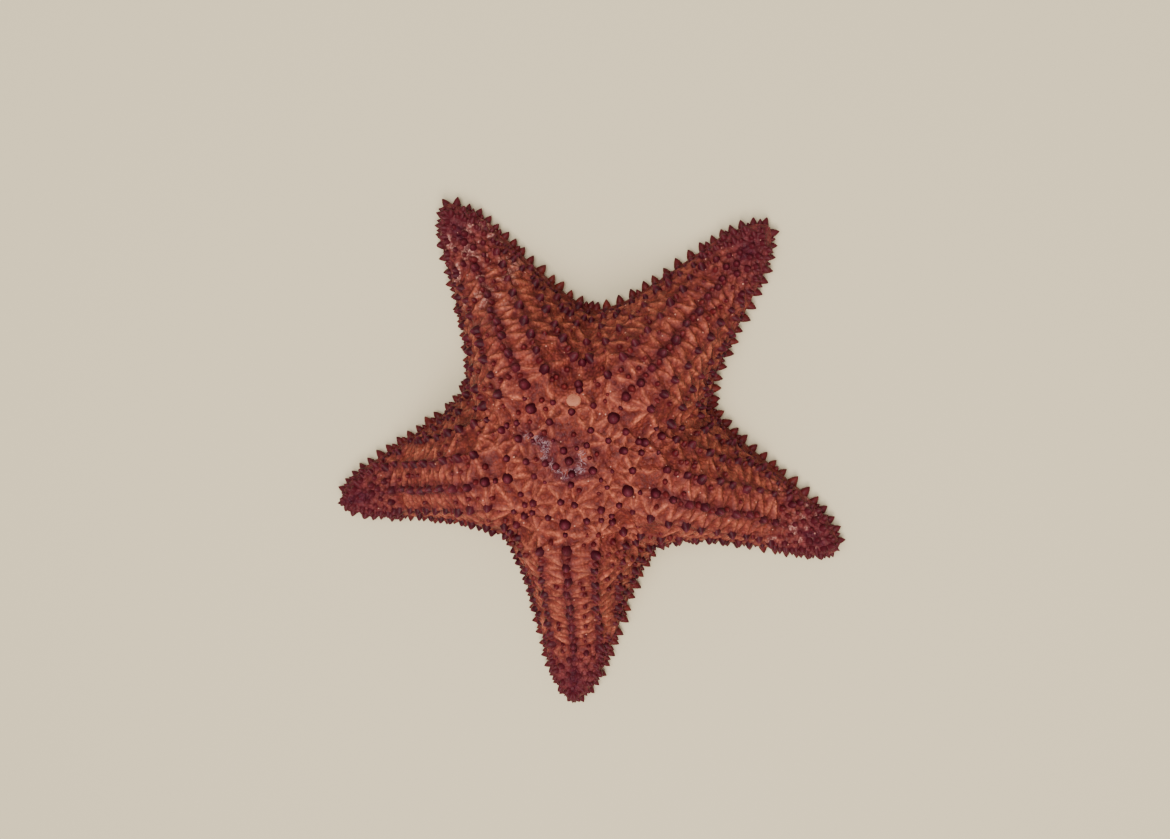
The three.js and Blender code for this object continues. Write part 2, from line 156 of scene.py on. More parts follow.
# Tubercles of the disc: arm, distance out along it, distance across, radius.
DISC_TUBERCLES = [
    (0, 28.3, 2.6, 2.5), (1, 27.5, -1.5, 2.75), (2, 27.3, -3.1, 2.8), (3, 27.2, -1.2, 2.7),
    (4, 27.8, 0.5, 2.5), (0, 6.5, -1.7, 1.7), (0, 12.2, 0.4, 0.9), (0, 16.0, 8.0, 1.1),
    (0, 18.5, -12.4, 1.7), (0, 18.5, 7.5, 1.35), (0, 19.5, -1.9, 1.75), (0, 25.5, 10.8, 1.6),
    (0, 26.0, -6.9, 1.4), (1, 2.0, 0.9, 1.9), (1, 8.2, 1.9, 1.1), (1, 11.8, -0.4, 1.5),
    (1, 17.5, 2.4, 1.55), (1, 18.8, -6.2, 1.55), (1, 25.2, -16.8, 1.65), (1, 25.8, 8.3, 1.5),
    (1, 25.8, 17.1, 1.75), (1, 26.0, -9.4, 1.7), (1, 33.2, -1.0, 1.2), (1, 34.0, -18.7, 1.4),
    (2, 10.5, 1.5, 1.9), (2, 14.8, -1.6, 1.2), (2, 18.2, 3.4, 1.1), (2, 18.2, -3.9, 1.3),
    (2, 23.8, -16.0, 1.5), (2, 25.5, -10.2, 1.6), (2, 26.2, 6.0, 1.75), (2, 26.8, 14.3, 1.55),
    (2, 32.2, -11.3, 1.5), (2, 32.5, -2.0, 1.35), (2, 34.0, 16.1, 1.25), (3, 3.5, 1.7, 1.65),
    (3, 8.2, 1.5, 1.5), (3, 16.2, -2.8, 1.7), (3, 17.2, 3.0, 1.65), (3, 23.2, -15.2, 1.55),
    (3, 24.5, -8.3, 1.65), (3, 24.5, 13.6, 1.5), (3, 24.8, 7.8, 1.7), (3, 32.0, -1.0, 1.35),
    (4, 5.0, -0.9, 1.7), (4, 9.0, -3.0, 1.65), (4, 11.5, 4.8, 1.0), (4, 15.2, 1.5, 1.55),
    (4, 17.2, -5.1, 1.65), (4, 23.8, 13.4, 1.5), (4, 24.0, 8.3, 1.45), (4, 25.8, -7.6, 1.7),
    (4, 30.0, 15.3, 1.5), (0, 33.5, 2.7, 1.2), (4, 33.5, 0.5, 1.3), (0, 26.5, 15.5, 1.5),
]

# ---- Small helpers ----

UP = np.array([0.0, 0.0, 1.0])


def smooth(t):
    t = np.clip(t, 0.0, 1.0)
    return t * t * (3 - 2 * t)


def ramp(value, start, end):
    """0 at the start and before it, 1 at the end and beyond it, and soft between them."""
    return smooth((value - start) / (end - start))


def bell(distance, width, power=2):
    """1 at no distance, falling softly to nothing beyond the width."""
    return np.exp(-((distance / width) ** power))


def unit(v):
    return v / np.maximum(np.linalg.norm(v, axis=-1, keepdims=True), 1e-12)


def level(angle):
    """The level direction at an angle."""
    return np.array([math.cos(angle), math.sin(angle), 0.0])


def scatter(a, b, c):
    """A repeatable number from 0 to 1 for the things counted by a, b and c."""
    value = np.sin(a * 12.9898 + b * 78.233 + c * 37.719) * 43758.5453
    return value - np.floor(value)


def sway(size, a, b, c):
    """A repeatable shift, by up to half of size either way."""
    return size * (scatter(a, b, c) - 0.5)


def vary(low, span, a, b, c):
    """A repeatable number between low and low + span."""
    return low + span * scatter(a, b, c)


def stray(a, b, c=0):
    """A repeatable vector with each part between -0.5 and 0.5."""
    return np.array([sway(1, a, b, part + c) for part in (1, 2, 3)])


def lengths_along(x, y):
    """How far along it each point of a line of points lies."""
    return np.concatenate([[0], np.cumsum(np.hypot(np.diff(x), np.diff(y)))])


# ---- The regular star ----


def keel_height(x):
    return KEEL_END + (DISC_TOP - KEEL_END) / (1 + np.exp((x - KEEL_FALL_AT) / KEEL_FALL_LENGTH))


def half_width(x):
    web = WEB_WIDTH / (1 + np.exp((x - WEB_EDGE) / WEB_SOFTNESS))
    tip = np.clip((x - TIP_START) / (ARM_REACH - TIP_START), 0, 1)
    return (CENTRE_HALF_WIDTH - ARM_TAPER * x + web) * np.sqrt(1 - tip * tip)


def arm_height(x, y):
    """The height of one arm's back, were it alone."""
    out = np.maximum(x, 0)
    aside = np.where(x < 0, np.hypot(x, y), np.abs(y))
    across = aside / np.maximum(half_width(out), 1e-3)
    return MARGIN_HEIGHT + (keel_height(out) - MARGIN_HEIGHT) * (1 - across**FLANK_FULLNESS)


def back_height(x, y):
    """The height of the back where arms merge, at points of the first arm's sector."""
    turns = [(math.cos(SECTOR * k), math.sin(SECTOR * k)) for k in ARMS]
    heights = np.array([arm_height(x * cos + y * sin, y * cos - x * sin) for cos, sin in turns])
    weights = np.exp((heights - heights.max(axis=0)) / ARM_BLEND)
    return (weights * heights).sum(axis=0) / weights.sum(axis=0)


def halve(keeps, low, high):
    """The largest value for which keeps() holds, between low and high."""
    for _ in range(40):
        middle = (low + high) / 2
        inside = keeps(middle)
        low = np.where(inside, middle, low)
        high = np.where(inside, high, middle)
    return low


def edge_at(x):
    """Half the width of the body at x, up to the margin or to the line between two arms."""
    line = x * HALF_SECTOR_SLOPE
    found = halve(lambda y: back_height(x, y) > MARGIN_HEIGHT, 0 * x, line)
    whole = back_height(x, line) > MARGIN_HEIGHT
    return np.where(x >= ARM_REACH, 0.0, np.where(whole, line, found))


WEB_CORNER = float(
    halve(lambda x: back_height(x, x * HALF_SECTOR_SLOPE) > MARGIN_HEIGHT, 20.0, 70.0)
)


def arcs_across(x, steps=240):
    """For each x, the y and the distance over the skin of a line of points from keel to edge."""
    y = edge_at(x)[:, None] * np.linspace(0, 1, steps + 1)
    z = back_height(x[:, None] + 0 * y, y)
    strides = np.hypot(np.diff(y, axis=1), np.diff(z, axis=1))
    return y, np.concatenate([np.zeros((len(x), 1)), np.cumsum(strides, axis=1)], axis=1)


TABLE_ROWS = 500
TABLE_X = np.linspace(0, ARM_REACH, TABLE_ROWS + 1)
TABLE_Y, TABLE_ARCS = arcs_across(TABLE_X, 120)


def across_by(x, arc):
    """The y of a point at an arc's length from the keel, or None where the skin ends before it."""
    row, part = divmod(x / ARM_REACH * TABLE_ROWS, 1)
    rows = (int(row), int(row) + 1)
    ends = [TABLE_ARCS[r, -1] for r in rows]
    if arc > (1 - part) * ends[0] + part * ends[1]:
        return None
    found = [np.interp(arc, TABLE_ARCS[r], TABLE_Y[r]) for r in rows]
    return float((1 - part) * found[0] + part * found[1])


# ---- This animal's pose ----

LOW_MOUTH, HIGH_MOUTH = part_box("mouth")
DISC_CENTRE = np.array((LOW_MOUTH + HIGH_MOUTH) / 2)[:2] / MM


def pose(k, x, y, z):
    """Points of the sector of arm k on the regular star, moved to their places, in millimetres."""
    x, y = np.asarray(x, float), np.asarray(y, float)
    k = np.broadcast_to(k, x.shape)
    reach = np.hypot(x, y)
    turn = np.arctan2(y, x) / SECTOR
    other = np.where(turn < 0, k + 1, k + 4) % 5
    share = smooth(np.abs(turn))
    lean = BEARINGS - REGULAR
    bearing = REGULAR[k] + SECTOR * turn + lean[k] * (1 - share) + lean[other] * share
    length = LENGTHS[k] * (1 - share) + LENGTHS[other] * share
    far = reach * (1 + (length - 1) * ramp(reach, LENGTHEN_START, LENGTHEN_END))
    px, py = far * np.cos(bearing), far * np.sin(bearing)
    other_turn = np.where(turn < 0, turn + 1, turn - 1)
    for index, sectors, weight in ((k, turn, 1 - share), (other, other_turn, share)):
        outward = reach * np.cos(SECTOR * sectors)
        bent = np.maximum((outward - BEND_START) / (ARM_REACH - BEND_START), 0)
        shift = BENDS[index] * bent * bent * weight
        px = px - shift * np.sin(BEARINGS[index])
        py = py + shift * np.cos(BEARINGS[index])
    return np.stack([px + DISC_CENTRE[0], py + DISC_CENTRE[1], np.broadcast_to(z, px.shape)], -1)


def on_back(k, x, y):
    """Places on the back of arm k and the way the skin faces there."""
    step = 0.4
    place = pose(k, x, y, back_height(x, y))
    ahead = pose(k, x + step, y, back_height(x + step, y)) - place
    aside = pose(k, x, y + step, back_height(x, y + step)) - place
    return place, unit(np.cross(ahead, aside))


# ---- Tubercles and margin spines: where each one stands ----

RADIUS, HEIGHT, SHADE, ARM, ALONG, ACROSS = range(6, 12)   # columns of a growth's row
FOOT_RISE = 0.75         # the skin is raised this much round the foot of a tubercle
USUAL_RADIUS = 1.7       # of the tubercles that have such a foot
LEAN_OUT = 0.08          # how much a tubercle leans out along its arm
UNRULY = 0.25            # and any way at random
PLATES = []              # places of the plates that the ribs join


class Growths:
    """Spines or tubercles of one kind: place, direction, radius, height, shade, arm, x and y."""

    def __init__(self):
        self.rows = []

    def add(self, place, direction, radius, height, shade, home):
        self.rows.append((*place, *direction, radius, height, shade, *home))

    def array(self):
        return np.array(self.rows)


def row_stations():
    stations = []
    x = PRIMARY_AT
    while x < ARM_REACH - 6:
        stations.append(x)
        x += ROW_STEP + ROW_WIDER * math.exp((PRIMARY_AT - x) / ROW_WIDER_RUN)
    return stations


STATIONS = row_stations()


def heft(radius):
    """How strongly a tubercle swells the skin round its foot."""
    return min(radius / USUAL_RADIUS, 1.2)


def plate(k, x, y):
    PLATES.append(on_back(k, x, y)[0])


def grow(growths, k, x, y, shape, size, seed, aside=0.0):
    """One tubercle on the back, leaning out along its arm, a little at random and to one side."""
    place, normal = on_back(k, x, y)
    outward = level(BEARINGS[k])
    lean = LEAN_OUT * outward + aside * np.cross(UP, outward)
    direction = unit(normal + lean + UNRULY * stray(k, seed))
    radius, height = shape[0] * size, shape[1] * size
    foot = place + FOOT_RISE * heft(radius) * normal
    growths.add(foot, direction, radius, height, scatter(k, seed, 4), (k, x, y))


def row_line(stagger):
    """Places along a row: the count, the distance out, and whether it is whole or a half place."""
    for i, (here, there) in enumerate(zip(STATIONS, STATIONS[1:])):
        for half in (0.0, 0.5):
            x = here + (stagger + half) * (there - here)
            if x < ROWS_END:
                yield i, x, half == 0


def keel_row(main, small, k):
    for i, x, whole in row_line(0.0):
        x += sway(1.2, k, i, 2) * (i > 0)
        if whole:
            y = sway(1.3, k, i, 0)
            plate(k, x, y)
            if i > 0:
                size = (1 - DWINDLE * x) * vary(0.86, 0.28, k, i, 1)
                grow(main, k, x, y, KEEL_TUBERCLE, size, 10 * i)
        elif x > ROWS_START:
            y = sway(2.0, k, i, 12)
            grow(small, k, x, y, KEEL_SMALL, vary(0.8, 0.5, k, i, 13), 10 * i + 1)


def side_row(main, small, k, side, row):
    """One of the rows beside the keel: it ends where it meets the margin or the next arm."""
    arc, row_size = SIDE_ROWS[row]
    key = row + side * 4
    for i, x, whole in row_line(0.25 if row % 2 == 0 else 0.0):
        if x < ROWS_START and row == 0:
            continue
        x += sway(1.4, k, i, key)
        y = across_by(x, arc + sway(1.4, k, i, row + side * 7))
        if y is None or y > x * HALF_SECTOR_SLOPE - BESIDE_CORNER:
            continue
        if x > WEB_CORNER and across_by(x, arc + ABOVE_MARGIN) is None:
            continue
        y *= side
        size = row_size * (1 - SIDE_DWINDLE * x) * vary(0.85, 0.3, k, i, row + 20)
        seed = 100 * key + 2 * i
        if whole:
            plate(k, x, y)
            grow(main, k, x, y, SIDE_TUBERCLE, size, seed, side * ROW_LEAN)
        elif scatter(k, i, 30 + key) < CLOSE_ROWS[k]:
            grow(small, k, x, y, SIDE_SMALL, size, seed + 1, side * ROW_LEAN)


def between_rows(small, k, side):
    """Small tubercles half way between the keel's row and the next, in the outer half of an arm."""
    for i, x, whole in row_line(0.12):
        share = 0.18 + 0.006 * (x - BETWEEN_START) + 0.2 * whole
        if x < BETWEEN_START or scatter(k, i, 50 + side) > share:
            continue
        y = side * across_by(x, BETWEEN_ARC + sway(2.2, k, i, 51 + side))
        grow(small, k, x, y, BETWEEN_SMALL, vary(0.75, 0.4, k, i, 52 + side), 900 + i)


def corner_row(main, k):
    """The tubercles on the line between arm k and the arm before it."""
    out = CORNER_START[k]
    count = 0
    while out < WEB_CORNER / math.cos(SECTOR / 2) - 3:
        x = out * math.cos(SECTOR / 2)
        y = out * math.sin(SECTOR / 2) - abs(sway(2.4, k, count, 61))
        plate(k, x, y)
        grow(main, k, x, y, CORNER_TUBERCLE, vary(0.8, 0.25, k, count, 62), 700 + count)
        out += CORNER_ROW_STEP * vary(0.85, 0.3, k, count, 63)
        count += 1


def end_cluster(main, small, k):
    """Close-set tubercles that cover an arm's end."""
    x, line = ROWS_END - 1.0, 0
    while x < ARM_REACH - 2.5:
        arc = 0.0 if line % 2 == 0 else CLUSTER_STEP / 2
        while (y := across_by(x, arc)) is not None:
            for side in BOTH_SIDES if arc > 0 else (1,):
                seed = int(1000 + 40 * line + arc * 3 + side)
                here = min(x + sway(1.8, k, seed, 1), ARM_REACH - 2.0)
                edge = float(np.interp(here, TABLE_X, TABLE_Y[:, -1]))
                across = side * min(y + sway(1.2, k, seed, 2), edge - 0.8)
                grown = scatter(k, seed, 3)
                plate(k, here, across)
                target = main if grown > 0.35 else small
                grow(target, k, here, across, END_TUBERCLE, 0.75 + 0.5 * grown, seed)
            arc += CLUSTER_STEP
        x += CLUSTER_STEP * 0.86
        line += 1


def fill_gaps(main, small):
    """Small tubercles in the gaps between the others, over the disc and the roots of the arms."""
    taken = np.concatenate([main.array(), small.array()])
    spots, reach = taken[:, :3], FILL_CLEAR + taken[:, RADIUS]
    for k in ARMS:
        for i in range(int(FILLED_OUT / FILL_STEP)):
            x = FILL_START + (i + scatter(k, i, 71)) * FILL_STEP
            for j in range(-FILLED_ACROSS, FILLED_ACROSS + 1):
                arc = (j + scatter(k, i, 72 + j)) * FILL_STEP
                y = across_by(x, abs(arc))
                if y is None or y > x * HALF_SECTOR_SLOPE - 1.0:
                    continue
                y = math.copysign(y, arc)
                place = on_back(k, x, y)[0]
                away = np.linalg.norm(spots - place, axis=1)
                if away.min() > LONE_PLATE:
                    if np.linalg.norm(PLATES - place, axis=1).min() > LONE_PLATE:
                        plate(k, x, y)
                free = place[2] >= FILL_LOWEST and (away >= reach).all()
                if free and scatter(i, j, k + 73) <= FILL_SHARE:
                    size = vary(0.9, 0.4, i, j, 74)
                    grow(small, k, x, y, FILLING_SMALL, size, 3000 + 40 * i + j)


def back_tubercles():
    """Rows of tubercles along the arms, those of the disc, and small ones between them."""
    main, small = Growths(), Growths()
    for k in ARMS:
        keel_row(main, small, k)
        for side in BOTH_SIDES:
            for row in range(len(SIDE_ROWS)):
                side_row(main, small, k, side, row)
            between_rows(small, k, side)
        corner_row(main, k)
        end_cluster(main, small, k)
    for i, (k, x, y, radius) in enumerate(DISC_TUBERCLES):
        grow(main, k, x, y, DISC_DOME if radius < GREAT_RADIUS else GREAT_DOME, radius, 2000 + i)
        plate(k, x, y)
    fill_gaps(main, small)
    return main.array(), small.array()


def outline_frame(x, y):
    """The outward direction at each point of a line of points that runs out along the margin."""
    dx, dy = np.gradient(x), np.gradient(y)
    length = np.hypot(dx, dy)
    nx, ny = np.abs(dy) / length, np.abs(dx) / length
    nx[0], ny[0] = math.cos(SECTOR / 2), math.sin(SECTOR / 2)
    nx[-1], ny[-1] = 1.0, 0.0
    return nx, ny


def margin_growths():
    """The spines that stand out round the margin, and the tubercles on its shoulder and flank."""
    low, high = Growths(), Growths()
    share = np.sin(np.linspace(0, math.pi / 2, 401))
    x = WEB_CORNER + (ARM_REACH - WEB_CORNER) * share
    y = edge_at(x)
    columns = (x, y, *outline_frame(x, y))
    travelled = lengths_along(x, y)
    for k in ARMS:
        for side in BOTH_SIDES:
            at = 0.0 if side > 0 else MARGIN_SPINE_STEP * 0.5
            count = 0
            while at <= travelled[-1] - (1.5 if side < 0 else 0):
                here = [np.interp(at, travelled, column) for column in columns]
                margin_station(low, high, k, side, count, here)
                closer = END_CLOSER if here[0] > TIP_START - 4 else 1.0
                at += MARGIN_SPINE_STEP * 0.5 * closer * vary(0.78, 0.44, k, count, side + 3)
                count += 1
    return low.array(), high.array()


def margin_station(low, high, k, side, count, here):
    """One place of the margin. Every other one has a long spine, with a tubercle over it."""
    x, y, nx, ny = here
    home = (k, x, side * y)
    foot = pose(k, x, side * y, MARGIN_SPINE_LEVEL)
    out = unit(pose(k, x + nx, side * (y + ny), MARGIN_SPINE_LEVEL) - foot)
    end = END_SCALE if x > TIP_START - 2 else 1.0

    def inward(distance):
        return x - distance * nx, side * max(y - distance * ny, NEAREST_KEEL)

    def stand(spot, shape, size, shade):
        """A tubercle on the back that leans out over the margin."""
        radius, height, lean, rise = shape
        place, normal = on_back(k, *spot)
        tilt = unit(normal + lean * out)
        high.add(place + rise * normal, tilt, radius * size, height * size, shade, home)

    flank = inward(vary(FLANK_INWARD[count % 2], 0.5, k, count, 21 + side))
    if count % 2:
        plate(k, *flank)
    if on_back(k, *flank)[0][2] > FLANK_LOWEST and scatter(k, count, 24 + side) > 0.25:
        size = end * vary(0.75, 0.5, k, count, 27 + side)
        stand(flank, FLANK_TUBERCLE, size, scatter(count, k, 30 + side))
    if count % 2:
        if scatter(k, count, 14 + side) <= 0.5:
            margin_spine(low, k, side, count, foot, out, SHORT_SPINE, end, home)
        return
    shoulder = inward(vary(SHOULDER_INWARD, 1.2, k, count, 16))
    plate(k, *shoulder)
    margin_spine(low, k, side, count, foot, out, LONG_SPINE, end, home)
    if scatter(k, count, 17 + side) > 0.1:
        size = end * vary(0.8, 0.4, k, count, 18)
        stand(shoulder, SHOULDER_TUBERCLE, size, scatter(count, k, 19))


def margin_spine(low, k, side, count, foot, out, shape, end, home):
    """A spine that points outwards, the short ones from higher up and more steeply."""
    short = shape is SHORT_SPINE
    lift = 0.10 + sway(0.3, k, count, 5 + side) + 0.25 * short
    along = 0.15 + sway(0.35, k, count, 6 + side)
    direction = unit(out + lift * UP + along * level(BEARINGS[k]))
    place = foot + 1.1 * short * UP + 0.15 * out
    size = end * vary(0.82, 0.3, k, count, 8 + side)
    shade = scatter(k, count, 15)
    low.add(place, direction, shape[0] * size, shape[1] * size, shade, home)


# ---- The net of ribs ----

REACH_OF_RIB = 16.0      # plates farther apart than this aren't joined
CLEAR_OF_RIB = 0.95      # of a rib squared: no third plate has less, added up, to its two ends
RIB_SIDE = 4.0           # how far to each side of a rib the distance to it is worked out
FAR_AWAY = 99.0


class Lattice:
    """Points sorted into square columns, to find quickly those near a place."""

    def __init__(self, points, size=4.0):
        self.size = size
        self.low = points[:, :2].min(axis=0)
        cells = self.cell(points)
        self.last = cells.max(axis=0)
        self.rows = self.last[1] + 1
        key = cells[:, 0] * self.rows + cells[:, 1]
        self.order = np.argsort(key, kind="stable")
        self.starts = np.searchsorted(key[self.order], np.arange((self.last[0] + 1) * self.rows + 1))

    def cell(self, points):
        return ((points[..., :2] - self.low) / self.size).astype(int)

    def near(self, low, high):
        """The points in the columns between two corners, by their numbers."""
        first = np.maximum(self.cell(low), 0)
        last = np.minimum(self.cell(high), self.last)
        runs = [np.empty(0, int)]
        for column in range(first[0], last[0] + 1):
            start, end = self.starts[column * self.rows + np.array([first[1], last[1] + 1])]
            runs.append(self.order[start:end])
        return np.concatenate(runs)


def rib_ends(plates):
    """Pairs of plates joined by a rib: those with no third plate inside the circle on the two."""
    apart = ((plates[:, None] - plates[None]) ** 2).sum(-1)
    pairs = []
    for a, b in zip(*np.nonzero(np.triu(apart < REACH_OF_RIB**2, 1))):
        total = apart[a] + apart[b]
        total[[a, b]] = np.inf
        if total.min() > CLEAR_OF_RIB * apart[a, b]:
            pairs.append((a, b))
    return pairs


def from_line(places, start, end):
    """The shortest way to each place from the line between start and end."""
    line = end - start
    away = places - start
    share = np.clip(away @ line / (line @ line), 0, 1)
    return away - share[:, None] * line


def rib_field(points, normals, plates):
    """Distance over the skin of every point to the nearest rib."""
    lattice = Lattice(points)
    nearest = np.full(len(points), FAR_AWAY)
    for a, b in rib_ends(plates):
        start, end = plates[a], plates[b]
        close = lattice.near(np.minimum(start, end) - RIB_SIDE, np.maximum(start, end) + RIB_SIDE)
        middle = points[close] - (start + end) / 2
        reach = np.linalg.norm(end - start) / 2 + RIB_SIDE
        close = close[(middle**2).sum(-1) < reach**2]
        away = from_line(points[close], start, end)
        away -= (away * normals[close]).sum(-1, keepdims=True) * normals[close]
        nearest[close] = np.minimum(nearest[close], np.linalg.norm(away, axis=-1))
    return nearest


def foot_field(points, grown):
    """How much each skin point belongs to the swollen foot of a tubercle, and to the dark ring round
    it.
    """
    lattice = Lattice(points)
    swell, stain = np.zeros((2, len(points)))
    for row in grown:
        place, radius = row[:3], row[RADIUS]
        reach = 2.6 * radius + 1.0
        close = lattice.near(place - reach, place + reach)
        away = np.linalg.norm(points[close] - place, axis=-1) / radius
        swell[close] = np.maximum(swell[close], bell(away, 1.4, 4) * heft(radius))
        stain[close] = np.maximum(stain[close], bell(away, 1.8, 2.6))
    return swell, stain


def value_noise(points, size, seed):
    """Smooth noise from 0 to 1 over points, with one random value for each cube of that size."""
    grid = points / size
    base = np.floor(grid)
    part = smooth(grid - base)
    total = np.zeros(len(points))
    for corner in np.ndindex(2, 2, 2):
        step = np.array(corner[::-1])
        cell = base + step
        value = scatter(cell[:, 0] + seed, cell[:, 1] - 2 * seed, cell[:, 2] + 5 * seed)
        total += value * np.prod(np.where(step == 1, part, 1 - part), axis=1)
    return total


def bead_field(points, size, seed):
    """Low round beads over points, one in each cube of that size: 1 at a bead's middle."""
    grid = points / size
    base = np.floor(grid)
    nearest = np.full(len(points), FAR_AWAY)
    for corner in np.ndindex(3, 3, 3):
        cell = base + np.array(corner) - 1
        shifts = [
            scatter(cell[:, 0] + seed + s, cell[:, 1] - 3 * s, cell[:, 2] + 7 * s) for s in (1, 2, 3)
        ]
        away = ((cell + np.stack(shifts, -1) - grid) ** 2).sum(-1)
        nearest = np.minimum(nearest, away)
    return ramp(np.sqrt(nearest), 0.85, 0.0)


# ---- Mesh making ----


def make_piece(name, points, tris, material, uv, **values):
    """A mesh piece from points in millimetres, with an unwrap and float values at its points."""
    mesh = bpy.data.meshes.new(name)
    mesh.vertices.add(len(points))
    mesh.vertices.foreach_set("co", (points * MM).astype(np.float32).ravel())
    mesh.loops.add(tris.size)
    mesh.loops.foreach_set("vertex_index", tris.astype(np.int32).ravel())
    mesh.polygons.add(len(tris))
    mesh.polygons.foreach_set("loop_start", np.arange(0, tris.size, 3, dtype=np.int32))
    mesh.polygons.foreach_set("loop_total", np.full(len(tris), 3, np.int32))
    mesh.polygons.foreach_set("use_smooth", np.full(len(tris), True))
    mesh.update(calc_edges=True)
    layer = mesh.uv_layers.new(name="OFBake")
    layer.data.foreach_set("uv", uv.astype(np.float32).ravel())
    for key, value in values.items():
        attribute = mesh.attributes.new(key, "FLOAT", "POINT")
        attribute.data.foreach_set("value", value.astype(np.float32))
    mesh.validate()
    piece = bpy.data.objects.new(name, mesh)
    bpy.context.collection.objects.link(piece)
    mesh.materials.append(material)
    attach(piece, "root")
    return piece


def ring(radius, turn, height):
    return np.stack([radius * np.cos(turn), radius * np.sin(turn), 0 * turn + height], -1)


def bands(rings, sides, first=0):
    """Triangles between rings of points, each ring to the next: their points start at first."""
    i = np.arange(sides)
    j = (i + 1) % sides
    quads = np.stack([i, j, j + sides, i + sides], -1)
    quads = (first + quads + sides * np.arange(rings - 1)[:, None, None]).reshape(-1, 4)
    return np.concatenate([quads[:, [0, 1, 2]], quads[:, [0, 2, 3]]])


def fan(pole, first, sides):
    """Triangles from one point to a ring whose points start at first."""
    i = np.arange(sides)
    return np.stack([0 * i + pole, first + i, first + (i + 1) % sides], -1)


# ---- The unwrap ----

UNWRAP_SCALE = 0.0026    # of the map for each millimetre of skin
SOLE_UNWRAP_SCALE = 0.00112
SOLE_UNWRAP_MIDDLE = (0.15, 0.845)
UNWRAP_EDGE = 0.002
UNWRAP_COLUMN = 0.332
UNWRAP_ROW = 0.172
STRIPS_AT = (0.345, 0.520)
STRIP_LENGTH = 0.30
STRIP_HEIGHT = 0.032
STRIP_FALL = 9.0         # the height of a margin's strip, in millimetres


def half_arm(k, side):
    """The number of each half arm, which has islands of its own on the unwrap."""
    return 2 * np.asarray(k) + (np.asarray(side) < 0)


def back_uv(k, side, x, arc):
    """A place of the back on the unwrap."""
    row, column = np.divmod(half_arm(k, side), 3)
    u = UNWRAP_EDGE + column * UNWRAP_COLUMN + x * UNWRAP_SCALE
    v = UNWRAP_EDGE + row * UNWRAP_ROW + arc * UNWRAP_SCALE
    return np.stack([u, v], -1)


def margin_uv(k, side, along, down):
    """A place of the margin's wall: a strip for each half arm, beside the back's last island."""
    row, column = np.divmod(half_arm(k, side), 2)
    u = STRIPS_AT[0] + column * STRIP_LENGTH + along * UNWRAP_SCALE
    v = STRIPS_AT[1] + row * STRIP_HEIGHT + down * UNWRAP_SCALE
    return np.stack([u, v], -1)


def sole_uv(points):
    return SOLE_UNWRAP_MIDDLE + (points[..., :2] - DISC_CENTRE) * SOLE_UNWRAP_SCALE


# ---- The skin ----

INNER_STEPS = 110
ARM_STEPS = 150
TIP_STEPS = 32
ACROSS_STEPS = 116
WALL_STEPS = 8
SOLE_STEPS = 46
GROOVE_STEPS = 10        # of the sole's, those inside the groove
TIP_GRID_START = 111.0
BACK, WALL, SOLE = 0, 1, 2
WELD_STEPS = 500         # in a millimetre: points on the same step are one point


def groove_half(x):
    narrow = np.clip((x - GROOVE_START) / (GROOVE_END - GROOVE_START), 0, 1)
    return GROOVE_HALF_WIDTH + (GROOVE_TIP_HALF_WIDTH - GROOVE_HALF_WIDTH) * narrow


def groove_depth(x):
    return GROOVE_DEPTH * ramp(x, GROOVE_END, GROOVE_FADE_START)


def grid_stations():
    inner = np.linspace(0, WEB_CORNER, INNER_STEPS + 1)[:-1]
    arm = np.linspace(WEB_CORNER, TIP_GRID_START, ARM_STEPS + 1)[:-1]
    turn = np.sin(np.linspace(0, math.pi / 2, TIP_STEPS + 1))
    return np.concatenate([inner, arm, TIP_GRID_START + (ARM_REACH - TIP_GRID_START) * turn])


def sole_profile(x, edge):
    """From the sole's edge in to the groove's middle: the y and the height of each point."""
    step = np.arange(SOLE_STEPS + 1)
    flat_steps = SOLE_STEPS - GROOVE_STEPS
    groove = np.minimum(groove_half(x), edge)[:, None]
    y = edge[:, None] + (groove - edge[:, None]) * np.minimum(step / flat_steps, 1)
    into = np.clip((step - flat_steps) / GROOVE_STEPS, 0, 1)
    y = np.where(into > 0, groove * (1 - into**1.4), y)
    z = groove_depth(x)[:, None] * np.sin(into * math.pi / 2) ** 0.8
    from_mouth = np.hypot(x[:, None], y)
    round_mouth = MOUTH_DEPTH * ramp(from_mouth, MOUTH_RADIUS + 0.8, MOUTH_RADIUS - 0.8)
    return y, np.maximum(z * (from_mouth > MOUTH_RADIUS / 2), round_mouth)


